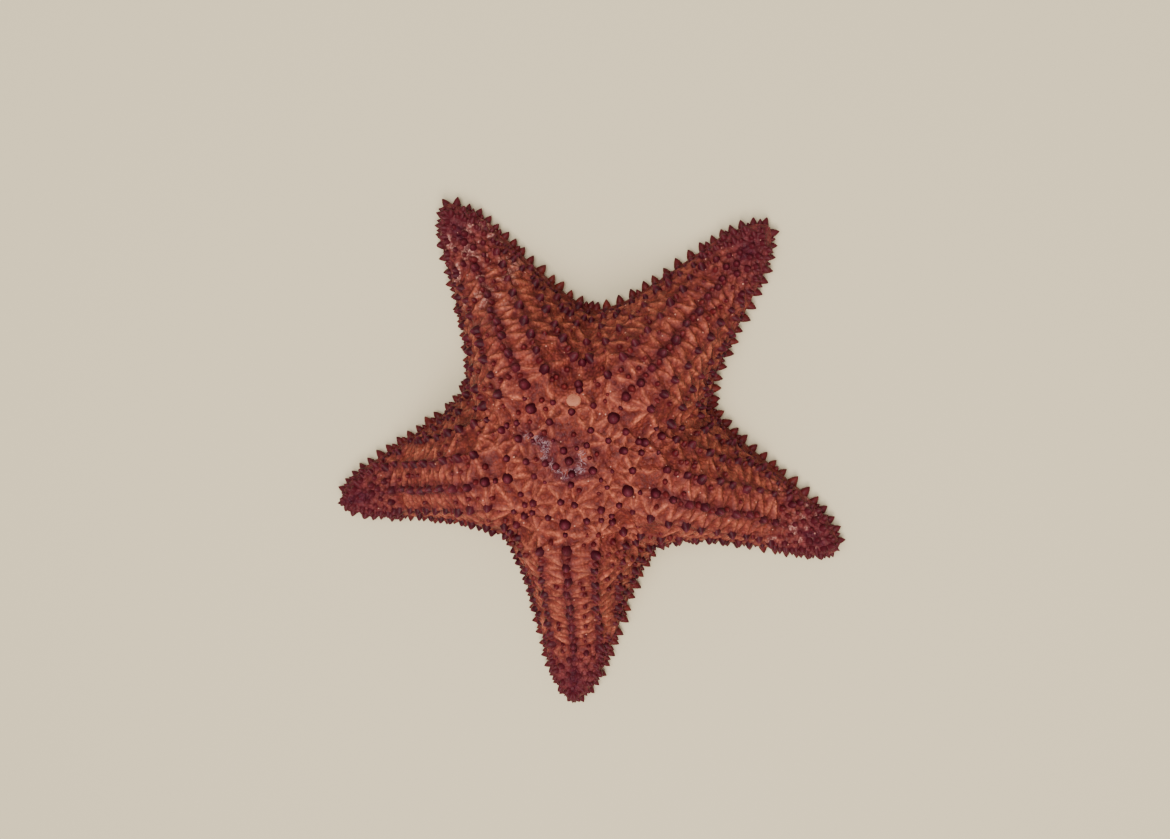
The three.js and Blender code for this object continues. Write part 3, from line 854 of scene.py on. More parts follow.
def skin_grids():
    """The sheets of points of every half arm's back, margin and sole, with their unwraps."""
    x = grid_stations()
    y_line, arcs = arcs_across(x)
    y_line[-1], arcs[-1] = 0, 0
    wanted = arcs[:, -1:] * np.linspace(0, 1, ACROSS_STEPS + 1)
    y = np.array([np.interp(*line) for line in zip(wanted, arcs, y_line)])
    back_x = x[:, None] + 0 * y
    z = back_height(back_x, y)
    z[-1] = MARGIN_HEIGHT
    z[INNER_STEPS:, -1] = MARGIN_HEIGHT
    edge_x, edge_y = x[INNER_STEPS:], y[INNER_STEPS:, -1]
    nx, ny = outline_frame(edge_x, edge_y)
    down = np.linspace(0, math.pi, WALL_STEPS + 1)
    swell = MARGIN_BULGE * np.sin(down) - SOLE_INSET * ((1 - np.cos(down)) / 2) ** 3
    wall_x = edge_x[:, None] + nx[:, None] * swell
    wall_y = np.maximum(edge_y[:, None] + ny[:, None] * swell, 0)
    wall_y[-1] = 0
    same = 0 * wall_x
    wall_z = MARGIN_HEIGHT * (1 + np.cos(down)) / 2 + same
    shrink = wall_x[0, -1] / WEB_CORNER
    sole_x = np.concatenate([x[:INNER_STEPS] * shrink, wall_x[:, -1]])
    sole_edge = np.concatenate([y[:INNER_STEPS, -1] * shrink, wall_y[:, -1]])
    sole_y, sole_z = sole_profile(sole_x, sole_edge)
    sole_x = sole_x[:, None] + 0 * sole_y
    along = lengths_along(edge_x, edge_y)[:, None] + same
    fall = np.linspace(0, STRIP_FALL, WALL_STEPS + 1) + same
    sheets = []
    for k in ARMS:
        for side in BOTH_SIDES:
            back = pose(k, back_x, side * y, z)
            wall = pose(k, wall_x, side * wall_y, wall_z)
            sole = pose(k, sole_x, side * sole_y, sole_z)
            for points, uv, home in (
                (back, back_uv(k, side, back_x, wanted), (back_x, wanted, BACK)),
                (wall, margin_uv(k, side, along, fall), (wall_x, same + FAR_AWAY, WALL)),
                (sole, sole_uv(sole), (sole_x, sole_y, SOLE)),
            ):
                sheets.append((points, uv, side < 0, (k, *home)))
    return sheets


def weld(sheets):
    """All sheets as one mesh: shared points are joined. Each point keeps its arm, x, y and sheet."""
    points, uvs, faces, homes = [], [], [], []
    start = 0
    for sheet, uv, flip, (k, x, across, kind) in sheets:
        rows, columns = sheet.shape[:2]
        index = np.arange(rows * columns).reshape(rows, columns) + start
        quads = np.stack([index[:-1, :-1], index[1:, :-1], index[1:, 1:], index[:-1, 1:]], -1)
        quads = quads.reshape(-1, 4)
        faces.append(quads[:, ::-1] if flip else quads)
        points.append(sheet.reshape(-1, 3))
        uvs.append(uv.reshape(-1, 2))
        homes.append(np.stack([0 * x + k, x, across, 0 * x + kind], -1).reshape(-1, 4))
        start += rows * columns
    points, uvs, faces, homes = (np.concatenate(parts) for parts in (points, uvs, faces, homes))
    keys = np.round(points * WELD_STEPS).astype(np.int64)
    _, first, inverse = np.unique(keys, axis=0, return_index=True, return_inverse=True)
    return points[first], inverse.ravel()[faces], faces, uvs, homes[first]


def triangles_of(joined, corners):
    """Each quad as two triangles, less those that have two corners at one point."""
    result, kept = [], []
    for picks in ((0, 1, 2), (0, 2, 3)):
        tri = joined[:, picks]
        whole = (tri[:, 0] != tri[:, 1]) & (tri[:, 1] != tri[:, 2]) & (tri[:, 0] != tri[:, 2])
        result.append(tri[whole])
        kept.append(corners[whole][:, picks])
    return np.concatenate(result), np.concatenate(kept)


def point_normals(points, tris):
    a, b, c = (points[tris[:, i]] for i in range(3))
    face = np.cross(b - a, c - a)
    normals = np.zeros_like(points)
    for i in range(3):
        for axis in range(3):
            normals[:, axis] += np.bincount(tris[:, i], face[:, axis], len(points))
    return unit(normals)


RIB_HEIGHT = 0.85
RIB_WIDTH = 1.08         # on the arms
DISC_RIB_WIDTH = 1.15
MOUND_HEIGHT = 0.50      # the broad rise under each rib
BEAD_HEIGHT = 0.36       # the papulae, small swellings of the fields between ribs
BEAD_SIZE = 2.2
FOOT_HEIGHT = 0.50       # the swelling that carries a tubercle
GRAIN_HEIGHT = 0.22
SOLE_GRAIN = 0.05
SOLE_SINK = 0.03
LUMP_HEIGHT = 0.4
RIB_WANDER = 1.25        # how far the ribs stray from straight lines
SEAM_DEPTH = 0.30        # of the seams between the plates of the sole
SEAM_PLATE = (3.7, 4.2)  # length and width of those plates
END_SPOT = 112.5         # distance out of the dark spot near an arm's end
ROW_STAINS = np.array([0.75, 0.60, 0.70, 1.0, 1.0])   # how dark the rows are on each arm
PAINTED_GLINT_FROM = np.array([0.52, 0.90, 0.62, 0.95, 0.85])  # less means more painted glints on the arm
PAINTED_GLINT_START = np.array([66.0, 90.0, 84.0, 90.0, 90.0])

# The line of the mucus that lies over the middle of the disc, from the disc's centre.
MUCUS_LINE = np.array([(-18.0, 11.8), (-8.6, 8.9), (-11.0, 4.0), (-2.0, -4.4), (5.6, -1.4), (6.0, 5.0)])


def from_mucus(points):
    """How far each point lies from the line of the mucus, seen from above."""
    line = MUCUS_LINE + DISC_CENTRE
    ways = [from_line(points[:, :2], *ends) for ends in zip(line, line[1:])]
    return np.linalg.norm(ways, axis=-1).min(axis=0)


def row_stain(k, out, arc, points):
    """The dark line along the keel's row, a fainter one beside it, and a spot near the arm's end."""
    keel = bell(arc, 2.0) * ramp(out, 30, 40)
    beside = 0.55 * bell(arc - SIDE_ROWS[0][0], 1.5) * ramp(out, 36, 44)
    uneven = 0.45 + 0.55 * ramp(value_noise(points, 3.8, 21), 0.25, 0.65)
    spot = bell(np.hypot(out - END_SPOT, arc), 4.2)
    return np.minimum(ROW_STAINS[k] * (keel + beside) * uneven + 0.9 * spot, 1)


def sole_seams(x, y):
    """How near a point of the sole is to a seam between its plates, which lie like bricks."""
    length, width = SEAM_PLATE
    row, across = np.divmod(y / width, 1)
    along = (x / length + 0.5 * (row % 2)) % 1
    to_row = np.minimum(across, 1 - across) * width
    to_end = np.minimum(along, 1 - along) * length
    return bell(np.minimum(to_row, to_end), 0.45) * ramp(y, 3.2, 4.2)


def build_skin(material, growths):
    """The sheets as one skin, raised by its ribs, beads and feet, with the values it is painted by."""
    points, joined, corners, uvs, homes = weld(skin_grids())
    tris, tri_corners = triangles_of(joined, corners)
    normals = point_normals(points, tris)
    k, (out, arc, sheet) = homes[:, 0].astype(int), homes[:, 1:].T
    upper, height = sheet != SOLE, points[:, 2]
    centre = np.hypot(*(points[:, :2] - DISC_CENTRE).T)
    on_disc = ramp(centre, 52, 28)

    wander = np.stack([value_noise(points, 3.8, s) - 0.5 for s in (1, 2, 3)], -1)
    near = rib_field(points + RIB_WANDER * wander, normals, np.array(PLATES))
    width = RIB_WIDTH + (DISC_RIB_WIDTH - RIB_WIDTH) * on_disc
    rib, mound = bell(near, width), bell(near, 2.2 * width)
    knobs = 0.4 + 0.95 * value_noise(points, 2.2, 11)
    swell, halo = foot_field(points, growths)
    beads = bead_field(points, BEAD_SIZE, 9) * upper
    grain = value_noise(points, 0.9, 7) - 0.5
    lumps = value_noise(points, 3.2, 8) - 0.5
    calm = 1 - 0.5 * ramp(centre, 13, 4)
    lift = calm * (RIB_HEIGHT * rib * knobs + MOUND_HEIGHT * mound)
    lift += BEAD_HEIGHT * (beads - 0.4) * (1 - 0.6 * rib) * (1 - swell) * upper
    lift += FOOT_HEIGHT * swell + GRAIN_HEIGHT * grain + LUMP_HEIGHT * lumps - SKIN_SINK
    seams = sole_seams(out, arc) * (sheet == SOLE) * (height < 0.4)
    lift = np.where(upper, lift, -SEAM_DEPTH * seams - SOLE_GRAIN * grain - SOLE_SINK)
    lift *= 1 - ramp(height, 2.0, 0.2) * upper
    points = points + lift[:, None] * normals

    off_mucus = from_mucus(points)
    plum = 0.95 * bell(off_mucus, 6.0) * ramp(value_noise(points, 3.4, 41), 0.1, 0.55)
    # Painted glints: pale patches near the ends of some arms, only where the skin faces up.
    worn = 0.9 * ramp(value_noise(points, 2.4, 31), PAINTED_GLINT_FROM[k], PAINTED_GLINT_FROM[k] + 0.25)
    worn *= ramp(out, PAINTED_GLINT_START[k], PAINTED_GLINT_START[k] + 20) * ramp(out, 120, 114)
    # Painted shade: sunk darkens the fields away from the ribs, the hollows, and a quarter more on the
    # disc's top, to stand in for less light falling there.
    ridge = bell(near, (2.0 - 0.75 * on_disc) * width)
    return make_piece(
        "skin",
        points,
        tris,
        material,
        uvs[tri_corners].reshape(-1, 2),
        # rib carries the ribs' paler colour, partly their own and partly a painted highlight on their
        # crests.
        rib=rib * knobs * upper,
        sunk=(1 - ridge) * (1 + 0.25 * on_disc) * upper,
        # bead lightens the beads' tops as a painted highlight, kept weaker on the disc as painted shade
        # there.
        bead=beads * (1 - 0.4 * on_disc),
        halo=halo * upper * (1 - 0.5 * on_disc),
        row=np.maximum(row_stain(k, out, arc, points), plum) * upper,
        out=out / ARM_REACH,
        margin=ramp(height, 13, 4) * upper,
        sole=1.0 - upper,
        seam=seams,
        mucus=bell(off_mucus, 2.6) * upper,
        worn=worn * ramp(normals[:, 2], 0.35, 0.65),
    )


# ---- Spines and tubercles as meshes ----

# The outline of a unit spine: shares of its height, and the radius at each.
SHARES = [-0.30, 0.0, 0.14, 0.32, 0.52, 0.70, 0.84, 0.94]
DOME = [1.05, 1.0, 0.97, 0.91, 0.80, 0.64, 0.45, 0.26]
CONE = [1.08, 1.0, 0.96, 0.87, 0.71, 0.53, 0.36, 0.20]
THORN = [1.05, 1.0, 0.97, 0.87, 0.70, 0.50, 0.31, 0.16]

# A tube foot: a slim stalk with a flat sucker at its end.
FOOT_SHARES = [-0.1, 0.3, 0.7, 0.86, 0.93, 1.0]
FOOT_OUTLINE = [0.55, 0.5, 0.5, 0.62, 0.95, 0.9]

SPINE_ROUGHNESS = 0.10
PATCH = 0.003            # size on the unwrap of one spine's own patch


def turned(outline, sides, top=1.0, shares=SHARES):
    """A spine turned from an outline, open at its foot, which stays under the skin."""
    turn = np.linspace(0, 2 * math.pi, sides, endpoint=False)
    rings = [ring(radius, turn, share) for share, radius in zip(shares, outline)]
    pole = len(rings) * sides
    faces = [bands(len(rings), sides), fan(pole, pole - sides, sides)]
    return np.concatenate([*rings, [[0, 0, top]]]), np.concatenate(faces)


def root_uv(rows, on_sole):
    """The place of each root on the skin's unwrap."""
    if on_sole:
        return sole_uv(rows[:, :3])
    k, x, y = rows[:, ARM].astype(int), rows[:, ALONG], rows[:, ACROSS]
    y_line, arcs = arcs_across(np.clip(x, 0.5, ARM_REACH - 0.2), 60)
    arc = np.array([np.interp(*line) for line in zip(np.abs(y), y_line, arcs)])
    return back_uv(k, np.where(y < 0, -1, 1), x, arc)


def plant(name, rows, template, material, on_sole=False):
    """Joined copies of one template, one for each row of place, direction, radius and height."""
    points, faces = template
    count, size = len(rows), len(points)
    up = unit(rows[:, 3:6])
    helper = np.where(np.abs(up[:, 2:3]) > 0.8, [[1.0, 0, 0]], [[0, 0, 1.0]])
    right = unit(np.cross(helper, up))
    ahead = np.cross(up, right)
    spin = 2 * math.pi * scatter(np.arange(count), 1, 1)[:, None, None]
    x, y, z = (points[None, :, i : i + 1] for i in range(3))
    rough = 1 + SPINE_ROUGHNESS * (value_noise(points * 2.3 + 40, 1.0, 5)[None, :, None] - 0.5)
    radius = rows[:, RADIUS, None, None] * rough
    placed = (
        rows[:, None, :3]
        + (x * np.cos(spin) - y * np.sin(spin)) * radius * right[:, None]
        + (x * np.sin(spin) + y * np.cos(spin)) * radius * ahead[:, None]
        + z * rows[:, HEIGHT, None, None] * up[:, None]
    )
    rise = np.clip(points[:, 2], 0, 1)
    turn = np.arctan2(points[:, 1], points[:, 0]) / (2 * math.pi)
    uv = root_uv(rows, on_sole)[:, None] + np.stack([turn, rise - 0.5], -1) * PATCH
    return make_piece(
        name,
        placed.reshape(-1, 3),
        (faces + (np.arange(count) * size)[:, None, None]).reshape(-1, 3),
        material,
        uv[:, faces.ravel()].reshape(-1, 2),
        rise=np.tile(rise, count),
        shade=np.repeat(rows[:, SHADE], size),
        out=np.repeat(rows[:, ALONG] / ARM_REACH, size),
    )


# ---- The grooves of the underside ----

FEET_IN_ROW = 62
FEET_STEP = 1.7
FOOT_ASIDE = 0.42        # share of the groove's half width


def groove_growths():
    """Two rows of tube feet in each groove, and the small spines that fence it on both sides."""
    feet, fence = Growths(), Growths()
    for k in ARMS:
        for side in BOTH_SIDES:
            for i in range(FEET_IN_ROW):
                x = GROOVE_START + 1.5 + i * FEET_STEP
                half, depth = groove_half(x), groove_depth(x)
                if x < GROOVE_FADE_START:
                    foot = pose(k, x, side * half * FOOT_ASIDE, depth - 0.3)
                    way = unit(0.5 * stray(k, i, side) - UP)
                    radius, longest = TUBE_FOOT
                    height = min(depth - 0.9, longest)
                    feet.add(foot, way, radius, height, scatter(k, i, 4), (k, x, side))
                edge = pose(k, x, side * (half + 0.25), 0.9)
                lean = unit(0.9 * unit(pose(k, x, 0.0, 0.9) - edge) - 0.35 * UP)
                fence.add(edge, lean, *GROOVE_SPINE, scatter(k, i, 5), (k, x, side))
    return feet.array(), fence.array()


# ---- Shader nodes ----


class Wiring:
    """Short ways to add nodes to one tree and to join them."""

    def __init__(self, tree):
        self.tree = tree

    def node(self, kind, **settings):
        made = self.tree.nodes.new(kind)
        for key, value in settings.items():
            setattr(made, key, value)
        return made

    def join(self, source, target):
        self.tree.links.new(source, target)

    def put(self, target, value):
        if isinstance(value, bpy.types.NodeSocket):
            self.join(value, target)
        else:
            target.default_value = value

    def fill(self, made, values):
        """Set a node's inputs by their places or names, from values or other nodes' outputs."""
        for key, value in values.items():
            self.put(made.inputs[key], value)
        return made.outputs

    def math(self, operation, *values, clamp=False):
        made = self.node("ShaderNodeMath", operation=operation, use_clamp=clamp)
        return self.fill(made, dict(enumerate(values)))[0]

    def times(self, a, b):
        return self.math("MULTIPLY", a, b)

    def plus(self, a, b):
        return self.math("ADD", a, b)

    def minus(self, a, b):
        return self.math("SUBTRACT", a, b)

    def mix(self, factor, a, b, blend="MIX"):
        made = self.node("ShaderNodeMix", data_type="RGBA", blend_type=blend)
        return self.fill(made, {0: factor, 6: a, 7: b})[2]

    def remap(self, value, low, high, to_low=0.0, to_high=1.0):
        made = self.node("ShaderNodeMapRange", interpolation_type="SMOOTHSTEP")
        return self.fill(made, dict(enumerate((value, low, high, to_low, to_high))))[0]

    def place(self):
        return self.node("ShaderNodeTexCoord").outputs["Object"]

    def noise(self, scale, detail=3.0, rough=0.55, distort=0.0):
        values = {"Scale": scale, "Detail": detail, "Roughness": rough, "Distortion": distort}
        return self.fill(self.node("ShaderNodeTexNoise"), {"Vector": self.place(), **values})[0]

    def cells(self, scale):
        """Distance from the middle of a cell, and a random value for each cell."""
        made = self.node("ShaderNodeTexVoronoi")
        outputs = self.fill(made, {"Vector": self.place(), "Scale": scale})
        parts = self.fill(self.node("ShaderNodeSeparateColor"), {0: outputs["Color"]})
        return outputs["Distance"], parts[0]

    def value(self, name, amount=None):
        """One of the values at a piece's points, times an amount."""
        found = self.node("ShaderNodeAttribute", attribute_name=name).outputs["Fac"]
        return found if amount is None else self.times(found, amount)

    def group(self, group, **inputs):
        made = self.node("ShaderNodeGroup", node_tree=group)
        return self.fill(made, {key.replace("_", " "): value for key, value in inputs.items()})

    def blotched(self, ground, patch, amount, scale):
        return self.group(BLOTCHES, Ground=ground, Patch=patch, Amount=amount, Scale=scale)[0]


class Effect(Wiring):
    """A shader node group: its inputs, by name, are a colour or a number as their defaults are."""

    def __init__(self, name, outputs, **inputs):
        super().__init__(bpy.data.node_groups.new(name, "ShaderNodeTree"))
        for label, default in inputs.items():
            made = self.socket(label.replace("_", " "), "INPUT", isinstance(default, tuple))
            made.default_value = default
        for label in outputs:
            self.socket(label, "OUTPUT", label == "Color")
        self.given = self.node("NodeGroupInput").outputs
        self.result = self.node("NodeGroupOutput").inputs

    def socket(self, label, way, is_colour):
        kind = "NodeSocketColor" if is_colour else "NodeSocketFloat"
        return self.tree.interface.new_socket(name=label, in_out=way, socket_type=kind)


RUST = (0.4, 0.1, 0.05, 1)
DEEP_RED = (0.3, 0.05, 0.03, 1)
GAP_SHADE_RED = (0.1, 0.01, 0.01, 1)
END_MAROON = (0.052, 0.0085, 0.0115, 1)
MARGIN_RED = (0.125, 0.018, 0.016, 1)


def blotch_group():
    """Soft uneven colour: patches of one colour over another, in two sizes."""
    w = Effect("blotches", ["Color"], Ground=RUST, Patch=DEEP_RED, Amount=0.5, Scale=90.0)
    large = w.noise(w.given["Scale"], 3.0, 0.6, 0.4)
    fine = w.noise(w.times(w.given["Scale"], 5.5), 2.0, 0.5)
    mask = w.remap(w.plus(w.times(large, 0.65), w.times(fine, 0.35)), 0.40, 0.62)
    share = w.times(mask, w.given["Amount"])
    w.join(w.mix(share, w.given["Ground"], w.given["Patch"]), w.result["Color"])
    return w.tree


def zone_group():
    """The stain that deepens to purple maroon at the ends of the arms and along the margin."""
    defaults = {"Color": RUST, "Out": 0.0, "Margin": 0.0}
    w = Effect("zones", ["Color"], **defaults, End_Color=END_MAROON, Margin_Color=MARGIN_RED)
    ragged = w.times(w.minus(w.noise(70.0, 4.0, 0.6), 0.5), 0.22)
    end = w.remap(w.plus(w.given["Out"], ragged), 0.68, 0.94, 0.0, 0.90)
    edge = w.times(w.given["Margin"], 0.72)
    edged = w.mix(edge, w.given["Color"], w.given["Margin Color"])
    w.join(w.mix(end, edged, w.given["End Color"]), w.result["Color"])
    return w.tree


def grain_group():
    """The height of a fine grained skin: close-set beads, with finer noise over them."""
    w = Effect("grain", ["Height"], Scale=1400.0, Beads=1.0, Noise=0.5)
    beads = w.minus(1.0, w.cells(w.given["Scale"])[0])
    noise = w.noise(w.times(w.given["Scale"], 2.0), 2.0)
    height = w.plus(w.times(beads, w.given["Beads"]), w.times(noise, w.given["Noise"]))
    w.join(height, w.result["Height"])
    return w.tree


def bead_group():
    """Close-set beads of colour: each a little lighter or darker, with painted shade in the gaps
    between them.
    """
    defaults = {"Color": RUST, "Gap_Color": GAP_SHADE_RED, "Scale": 700.0, "Variation": 0.25, "Gaps": 0.6}
    w = Effect("beads", ["Color", "Height"], **defaults)
    distance, tint = w.cells(w.given["Scale"])
    swing = w.times(w.minus(tint, 0.5), w.given["Variation"])
    shade = w.plus(1.0, w.times(swing, 2.0))
    tinted = w.mix(1.0, w.given["Color"], shade, "MULTIPLY")
    # Painted shade: the gap colour darkens the hollows between the beads, where their bump falls away.
    gap = w.times(w.remap(distance, 0.38, 0.72), w.given["Gaps"])
    w.join(w.mix(gap, tinted, w.given["Gap Color"]), w.result["Color"])
    w.join(w.remap(distance, 0.70, 0.10), w.result["Height"])
    return w.tree


def speck_and_glint_group():
    """Small pale specks, thinly scattered: partly pale granules of the skin, partly painted glints."""
    w = Effect("specks", ["Mask"], Scale=450.0, Share=0.15, Size=0.2)
    distance, pick = w.cells(w.given["Scale"])
    picked = w.math("LESS_THAN", pick, w.given["Share"])
    spot = w.math("SUBTRACT", 1.0, w.math("DIVIDE", distance, w.given["Size"]), clamp=True)
    w.join(w.times(picked, w.remap(spot, 0.0, 0.6)), w.result["Mask"])
    return w.tree


def film_group():
    """A thin pale film drawn out in threads."""
    w = Effect("film", ["Mask"], Scale=500.0, Amount=1.0)
    ridge = w.math("ABSOLUTE", w.minus(w.noise(w.given["Scale"], 3.0, 0.6, 1.2), 0.5))
    w.join(w.times(w.remap(ridge, 0.055, 0.0), w.given["Amount"]), w.result["Mask"])
    return w.tree


BLOTCHES = blotch_group()
ZONES = zone_group()
GRAIN = grain_group()
BEADS = bead_group()
SPECKS_AND_GLINTS = speck_and_glint_group()
FILM = film_group()

# ---- Materials ----


def srgb(red, green, blue):
    """A colour given as 0 to 255 as a shader's colour."""
    linear = [((c / 255 + 0.055) / 1.055) ** 2.4 for c in (red, green, blue)]
    return (*linear, 1.0)


def new_material(name, roughness, specular=0.5, coat=0.0):
    material = bpy.data.materials.new(name)
    material.use_nodes = True
    shader = material.node_tree.nodes["Principled BSDF"]
    shader.inputs["Roughness"].default_value = roughness
    shader.inputs["Specular IOR Level"].default_value = specular
    shader.inputs["Coat Weight"].default_value = coat
    shader.inputs["Coat Roughness"].default_value = 0.2
    return material, Wiring(material.node_tree), shader


def add_bump(w, shader, height, distance, strength):
    bump = w.node("ShaderNodeBump")
    normal = w.fill(bump, {"Height": height, "Distance": distance, "Strength": strength})["Normal"]
    w.join(normal, shader.inputs["Normal"])


def skin_material():
    """Rust red with paler ribs (partly a painted highlight), dark rows and halos, maroon ends, and a
    cream underside.
    """
    material, w, shader = new_material("star_skin", 0.5, 0.10, 0.02)
    # Painted shade: the hollow fields between the ribs take the darker of the two blotched colours.
    colour = w.mix(
        w.value("sunk", 0.8),
        w.blotched(srgb(141, 63, 50), srgb(90, 31, 34), 0.95, 120.0),
        w.blotched(srgb(116, 47, 35), srgb(72, 23, 28), 0.9, 170.0),
    )
    # Painted highlight: the beads' tops are painted lighter, less on the disc, where that stands in for
    # shade.
    colour = w.mix(w.value("bead", 0.30), colour, srgb(158, 74, 50))
    # The ribs' paler colour is partly their own and partly a painted highlight on their crests.
    ribs = w.times(w.value("rib"), w.remap(w.noise(140.0), 0.35, 0.62, 0.3, 1.0))
    colour = w.mix(ribs, colour, srgb(184, 98, 73))
    out, margin = w.value("out"), w.value("margin")
    colour = w.group(ZONES, Color=colour, Out=out, Margin=margin, End_Color=srgb(121, 54, 55))[0]
    colour = w.mix(w.value("row", 0.9), colour, srgb(64, 17, 34))
    colour = w.mix(w.value("halo", 0.85), colour, srgb(68, 16, 29))
    # Painted shade in the gaps between the fine beads.
    gaps = srgb(78, 23, 26)
    beads = w.group(BEADS, Color=colour, Gap_Color=gaps, Scale=680.0, Variation=0.28, Gaps=0.42)
    # Pale specks: partly pale granules of the skin and partly painted glints of the wet skin.
    specks = w.times(w.group(SPECKS_AND_GLINTS, Scale=430.0, Share=0.11, Size=0.22)[0], 0.6)
    colour = w.mix(specks, beads["Color"], srgb(222, 158, 136))
    # Painted glints: pale streaked patches near some arms' ends.
    streaks = w.remap(w.noise(900.0, 3.0, 0.6), 0.44, 0.62, 0.12, 1.0)
    colour = w.mix(w.times(w.value("worn", 0.75), streaks), colour, srgb(208, 148, 134))
    film = w.group(FILM, Scale=300.0, Amount=w.remap(w.value("mucus"), 0.35, 0.95))[0]
    colour = w.mix(w.times(film, 0.5), colour, srgb(178, 148, 154))
    under = w.blotched(srgb(196, 152, 104), srgb(164, 108, 70), 0.8, 140.0)
    under = w.mix(w.value("seam", 0.6), under, srgb(120, 66, 42))
    w.join(w.mix(w.value("sole"), colour, under), shader.inputs["Base Color"])
    grain = w.group(GRAIN, Scale=2000.0, Beads=0.5, Noise=0.5)[0]
    add_bump(w, shader, w.plus(beads["Height"], w.times(grain, 0.35)), 0.00034, 0.9)
    w.join(w.remap(w.noise(260.0), 0.35, 0.7, 0.40, 0.62), shader.inputs["Roughness"])
    return material


def spine_material(name, foot, tip, pale):
    """Maroon at the foot, turning to the end's colour over the upper half, each spine of its own shade.
    """
    material, w, shader = new_material(name, 0.42, 0.12, 0.02)
    # On the tubercles the end's colour is paler: a painted highlight on their tips.
    colour = w.mix(w.remap(w.value("rise"), 0.45, 1.0), foot, tip)
    colour = w.mix(w.remap(w.value("shade"), 0.5, 1.0, 0.0, 0.5), colour, pale)
    colour = w.blotched(colour, srgb(40, 8, 13), 0.45, 420.0)
    colour = w.group(ZONES, Color=colour, Out=w.value("out"), End_Color=srgb(80, 23, 31))[0]
    w.join(colour, shader.inputs["Base Color"])
    add_bump(w, shader, w.group(GRAIN, Scale=2600.0, Beads=0.6, Noise=0.6)[0], 0.00008, 0.6)
    return material


def plain_material(name, ground, patch, roughness, scale, grain_scale, bump):
    material, w, shader = new_material(name, roughness)
    w.join(w.blotched(ground, patch, 0.7, scale), shader.inputs["Base Color"])
    add_bump(w, shader, w.group(GRAIN, Scale=grain_scale, Beads=0.7, Noise=0.5)[0], bump, 0.7)
    return material


# ---- Sieve plate and mouth ----


def polar_patch(rings, sides, shape):
    """A round sheet of points from its middle out: shape gives the height for a share and a turn."""
    turn = np.linspace(0, 2 * math.pi, sides, endpoint=False)
    rounds = [ring(r / rings, turn, shape(r / rings, turn)) for r in range(1, rings + 1)]
    middle = [[0, 0, shape(0.0, np.zeros(1))[0]]]
    faces = [fan(0, 1, sides), bands(rings, sides, 1)[:, ::-1]]
    return np.concatenate([middle, *rounds]), np.concatenate(faces)


def build_sieve(material):
    """The madreporite: a low dome scored by fine wandering furrows that run out from its middle."""

    def dome(share, turn):
        furrow = np.sin(19 * turn + 2.2 * np.sin(21 * share + 3 * turn)) * ramp(share, 0, 1 / 3)
        falling = 0.9 * (1 - share**3) - 1.6 * ramp(share, 0.9, 1.0)
        return falling + 0.11 * furrow * (share < 0.93)

    points, faces = polar_patch(22, 96, dome)
    place, normal = on_back(0, SIEVE_OUT, -SIEVE_ACROSS)
    right = unit(np.cross([0.0, 1.0, 0.2], normal))
    radius = SIEVE_RADIUS + 0.05
    sides = np.array([radius * right, 0.92 * radius * np.cross(normal, right), normal])
    uv = (0.5 + 0.48 * points[:, :2])[faces].reshape(-1, 2)
    placed = place + 0.55 * normal + points @ sides
    piece = make_piece("madreporite_plate", placed, faces, material, uv)
    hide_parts("madreporite")


def build_mouth(material):
    """The puckered membrane of the mouth."""

    def pucker(share, turn):
        folds = 0.35 * np.cos(20 * turn) * ramp(share, 0.15, 0.45) * ramp(share, 1.0, 0.7)
        return MOUTH_DEPTH - 1.3 + 1.1 * ramp(share, 0.5, 0) - folds

    points, faces = polar_patch(18, 80, pucker)
    radius = MOUTH_RADIUS - 0.4
    placed = points * [radius, radius, 1] + [*DISC_CENTRE, 0]
    uv = (0.5 + 0.45 * points[:, :2])[faces[:, ::-1]].reshape(-1, 2)
    membrane = make_piece("mouth_membrane", placed, faces[:, ::-1], material, uv)
    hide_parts("mouth")


def jaw_growths():
    """The small spines on the five pairs of jaws, which point in and down."""
    jaws = Growths()
    for k in ARMS:
        for pair in (-1, 1):
            for step in range(4):
                inward = -level(REGULAR[k] - SECTOR / 2 + pair * (0.06 + 0.05 * step))
                place = np.array([*DISC_CENTRE, 3.6]) - (7.4 - 1.25 * step) * inward
                shade = scatter(k, step, pair)
                jaws.add(place, unit(inward - UP), 0.95 - 0.08 * step, 3.0, shade, (k, 4.0, 1.0))
    return jaws.array()


# ---- Putting the animal together ----

MAIN, SMALL = back_tubercles()
LOW_SPINES, HIGH_SPINES = margin_growths()
FEET, FENCE = groove_growths()
JAWS = jaw_growths()

SKIN_FINISH = skin_material()
# The tubercles' paler end colours are painted highlights on their tips.
TUBERCLE_FINISH = spine_material(
    "tubercle_maroon", srgb(62, 11, 23), srgb(98, 32, 44), srgb(98, 31, 40)
)
SMALL_FINISH = spine_material(
    "small_tubercle_red", srgb(86, 20, 26), srgb(112, 38, 38), srgb(110, 36, 32)
)
MARGIN_FINISH = spine_material(
    "margin_spine_maroon", srgb(98, 30, 31), srgb(72, 18, 25), srgb(124, 50, 39)
)
SIEVE_FINISH = plain_material(
    "sieve_plate_tan", srgb(178, 106, 76), srgb(154, 84, 60), 0.6, 300.0, 1800.0, 0.0001
)
MOUTH_FINISH = plain_material(
    "mouth_cream", srgb(214, 178, 134), srgb(186, 138, 98), 0.6, 200.0, 1800.0, 0.0001
)
FOOT_FINISH = plain_material(
    "tube_foot_amber", srgb(206, 158, 104), srgb(170, 112, 70), 0.4, 300.0, 2400.0, 0.00006
)

skin = build_skin(SKIN_FINISH, np.concatenate([MAIN, SMALL, HIGH_SPINES]))
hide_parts("disc", *[f"arm_{i}" for i in range(1, 6)])

